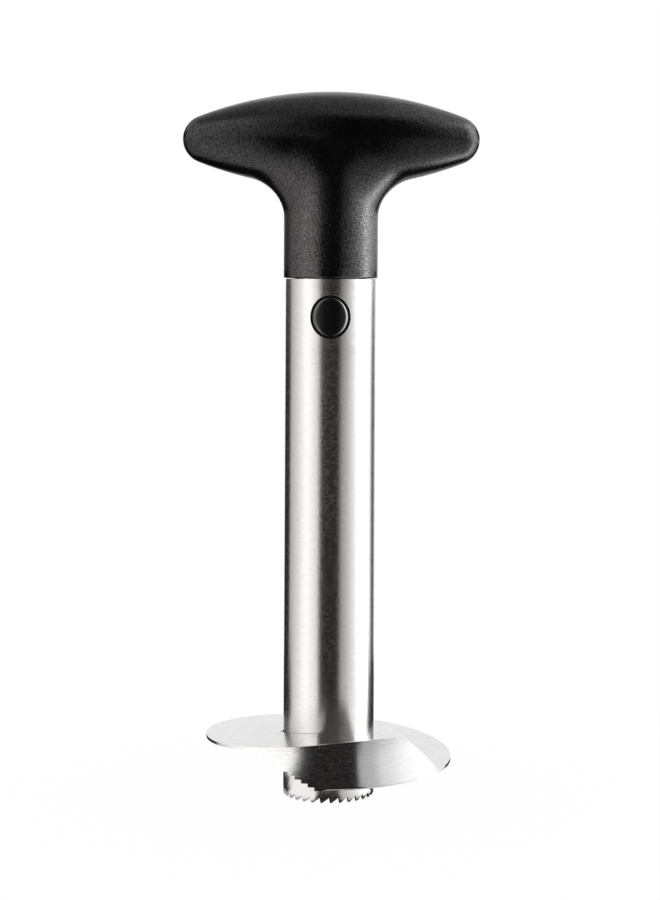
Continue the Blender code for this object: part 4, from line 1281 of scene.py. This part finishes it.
def build_cards():
    full = (-180, 180)
    low_side = [(degrees, max(level, LOW_SIDE_DARK)) for degrees, level in STUDIO_LEVELS]
    floor_cards = (
        ("middle", full, 0.0005, 0.0185, (UNDER_TEETH_LEVELS, NO_BACK), PALE_TINT),
        ("foot", full, 0.0185, 0.026, (FOOT_LEVELS, FOOT_BACK)),
        ("under", full, 0.026, 0.040, (FOOT_LEVELS, UNDER_BACK)),
        ("wall_left", (-180, 0), 0.0455, 0.145, (WALL_LEFT_LEVELS, WALL_BACK), PALE_TINT,
         WALL_SKEW),
        ("wall_right", (0, 180), 0.0455, 0.145, (WALL_RIGHT_LEVELS, WALL_BACK), PALE_TINT),
        ("near", full, 0.145, 0.25, (STUDIO_LEVELS, NEAR_BACK)),
        ("far", full, 0.25, CARD_REACH, (STUDIO_LEVELS, FAR_BACK, BACK_WHITE)),
    )
    for name, arc, inner, outer, levels, *look in floor_cards:
        material = studio_gradient("studio_floor_" + name, with_back(*levels), *look)
        card("floor_card_" + name, arc, (inner, CARD_LIFT), (outer, CARD_LIFT), material)
    upright_cards = (
        ("side_cards", CARD_LIFT, 0.21, with_back(low_side, FAR_BACK, BACK_WHITE)),
        ("neck_cards", 0.21, 0.48, NECK_LEVELS),
        ("brow_cards", 0.48, 1.25, with_back(HIGH_LEVELS, FAR_BACK)),
        ("high_cards", 1.25, CARD_TOP, HIGH_LEVELS),
    )
    for name, low, high, levels in upright_cards:
        material = studio_gradient("studio_" + name, levels)
        card(name, UPRIGHT_ARC, (CARD_REACH, low), (CARD_REACH, high), material)
    above = studio_gradient("studio_top_cards", TOP_LEVELS, PALE_TINT)
    card("top_cards", full, (CARD_REACH, CARD_TOP), (ZENITH_REACH, CARD_TOP), above)
    zenith = Nodes(bpy.data.materials.new("studio_zenith"), bare=True).glow(WHITE, STUDIO_TOP)
    card("zenith_card", full, (ZENITH_REACH, CARD_TOP), (0.05, CARD_TOP), zenith)


def build_floor():
    """A plain floor that takes the shadow, and near white where the camera or a mirror sees it."""
    bm = bmesh.new()
    corners = ((-1, -1), (1, -1), (1, 1), (-1, 1))
    bm.faces.new(ring_of(bm, [(FLOOR_REACH * x, FLOOR_REACH * y, 0) for x, y in corners]))
    floor = as_object("floor", bm)
    n = Nodes(bpy.data.materials.new("pale_floor"), bare=True)
    seen = n.seen_by("Glossy")
    away = n.vector('LENGTH', n.add("NewGeometry")["Position"])
    share = n.math('MULTIPLY', seen, n.span(away, FLOOR_SHADE, 1.0, *FLOOR_FADE))
    matt = n.add("BsdfDiffuse", FLOOR_COLOUR)[0]
    n.add("OutputMaterial", n.add("MixShader", share, matt, n.add("Emission")[0])[0])
    floor.data.materials.append(n.owner)


def build_world():
    n = Nodes(bpy.data.worlds.new("studio"))
    bpy.context.scene.world = n.owner
    back = n.tree.nodes["Background"].inputs
    seen = n.seen_by("Glossy", "Transmission")
    n.give(back["Strength"], n.span(seen, WORLD_LEVEL, 1.0, 0.0, 1.0))
    n.give(back["Color"], WHITE)


def softbox(name, angle, power):
    """A large lamp beside the slicer, aimed at its middle and unseen in its reflections."""
    lamp = bpy.data.lights.new(name, 'AREA')
    lamp.size = SOFTBOX_SIZE
    lamp.energy = power
    item = bpy.data.objects.new(name, lamp)
    item.location = polar(radians(angle), SOFTBOX_DISTANCE, SOFTBOX_HEIGHT)
    aim = Vector((0.0, 0.0, SOFTBOX_AIM)) - item.location
    item.rotation_euler = aim.to_track_quat('-Z', 'Y').to_euler()
    item.visible_glossy = False
    bpy.context.collection.objects.link(item)


def build_camera():
    data = bpy.data.cameras.new("view")
    data.sensor_width = SENSOR
    data.lens = SENSOR * FOCAL_PIXELS / FRAME_HEIGHT
    data.shift_x = -(AXIS_PIXEL - FRAME_WIDTH / 2) / FRAME_HEIGHT
    data.shift_y = (HORIZON_PIXEL - FRAME_HEIGHT / 2) / FRAME_HEIGHT
    data.clip_start = 0.01
    data.clip_end = 100.0
    camera = bpy.data.objects.new("view", data)
    camera.location = (0.0, -CAMERA_DISTANCE, CAMERA_HEIGHT)
    camera.rotation_euler = (radians(90), CAMERA_ROLL, 0.0)
    bpy.context.collection.objects.link(camera)
    bpy.context.scene.camera = camera


def build_studio():
    bpy.context.scene.view_settings.view_transform = 'Standard'
    build_camera()
    build_world()
    build_floor()
    build_cards()
    softbox("left_box", -80, 13.0)
    softbox("right_box", 78, 18.0)


def build_slicer():
    build_tube(tube_steel())
    build_blade(blade_steel())
    bead = weld_steel()
    for place, degrees in (("left", -100), ("back", -180), ("right", -260)):
        build_weld("bead_" + place, "blade_weld_" + place, radians(degrees), bead)
    build_grip(grip_black())
    plain = smooth_black("moulded_plug", (0.024, 0.024, 0.026), (0.034, 0.034, 0.036), 0.42, 0.08)
    build_plug(plain)
    build_cap(plain)
    gloss = button_gloss()
    wire = drawn_steel("spring_wire", (0.42, 0.42, 0.44), (0.60, 0.60, 0.62), 0.28,
                       (900.0, 900.0, 900.0))
    bolt = drawn_steel("screw_metal", (0.34, 0.34, 0.36), (0.48, 0.48, 0.50), 0.34,
                       (500.0, 500.0, 1600.0))
    for place, side in (("front", 1), ("rear", -1)):
        build_button("push_" + place, "button_" + place, side, place + "_button", gloss)
        build_spring("coil_" + place, "spring_" + place, side, wire)
    for place, side in (("left", -1), ("right", 1)):
        build_screw("bolt_" + place, "plug_screw_" + place, side, bolt)
    core = smooth_black("core_moulding", (0.050, 0.050, 0.054), (0.070, 0.070, 0.075), 0.52, 0.1)
    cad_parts["handle_core"].material_slots[0].material = core


build_studio()
build_slicer()
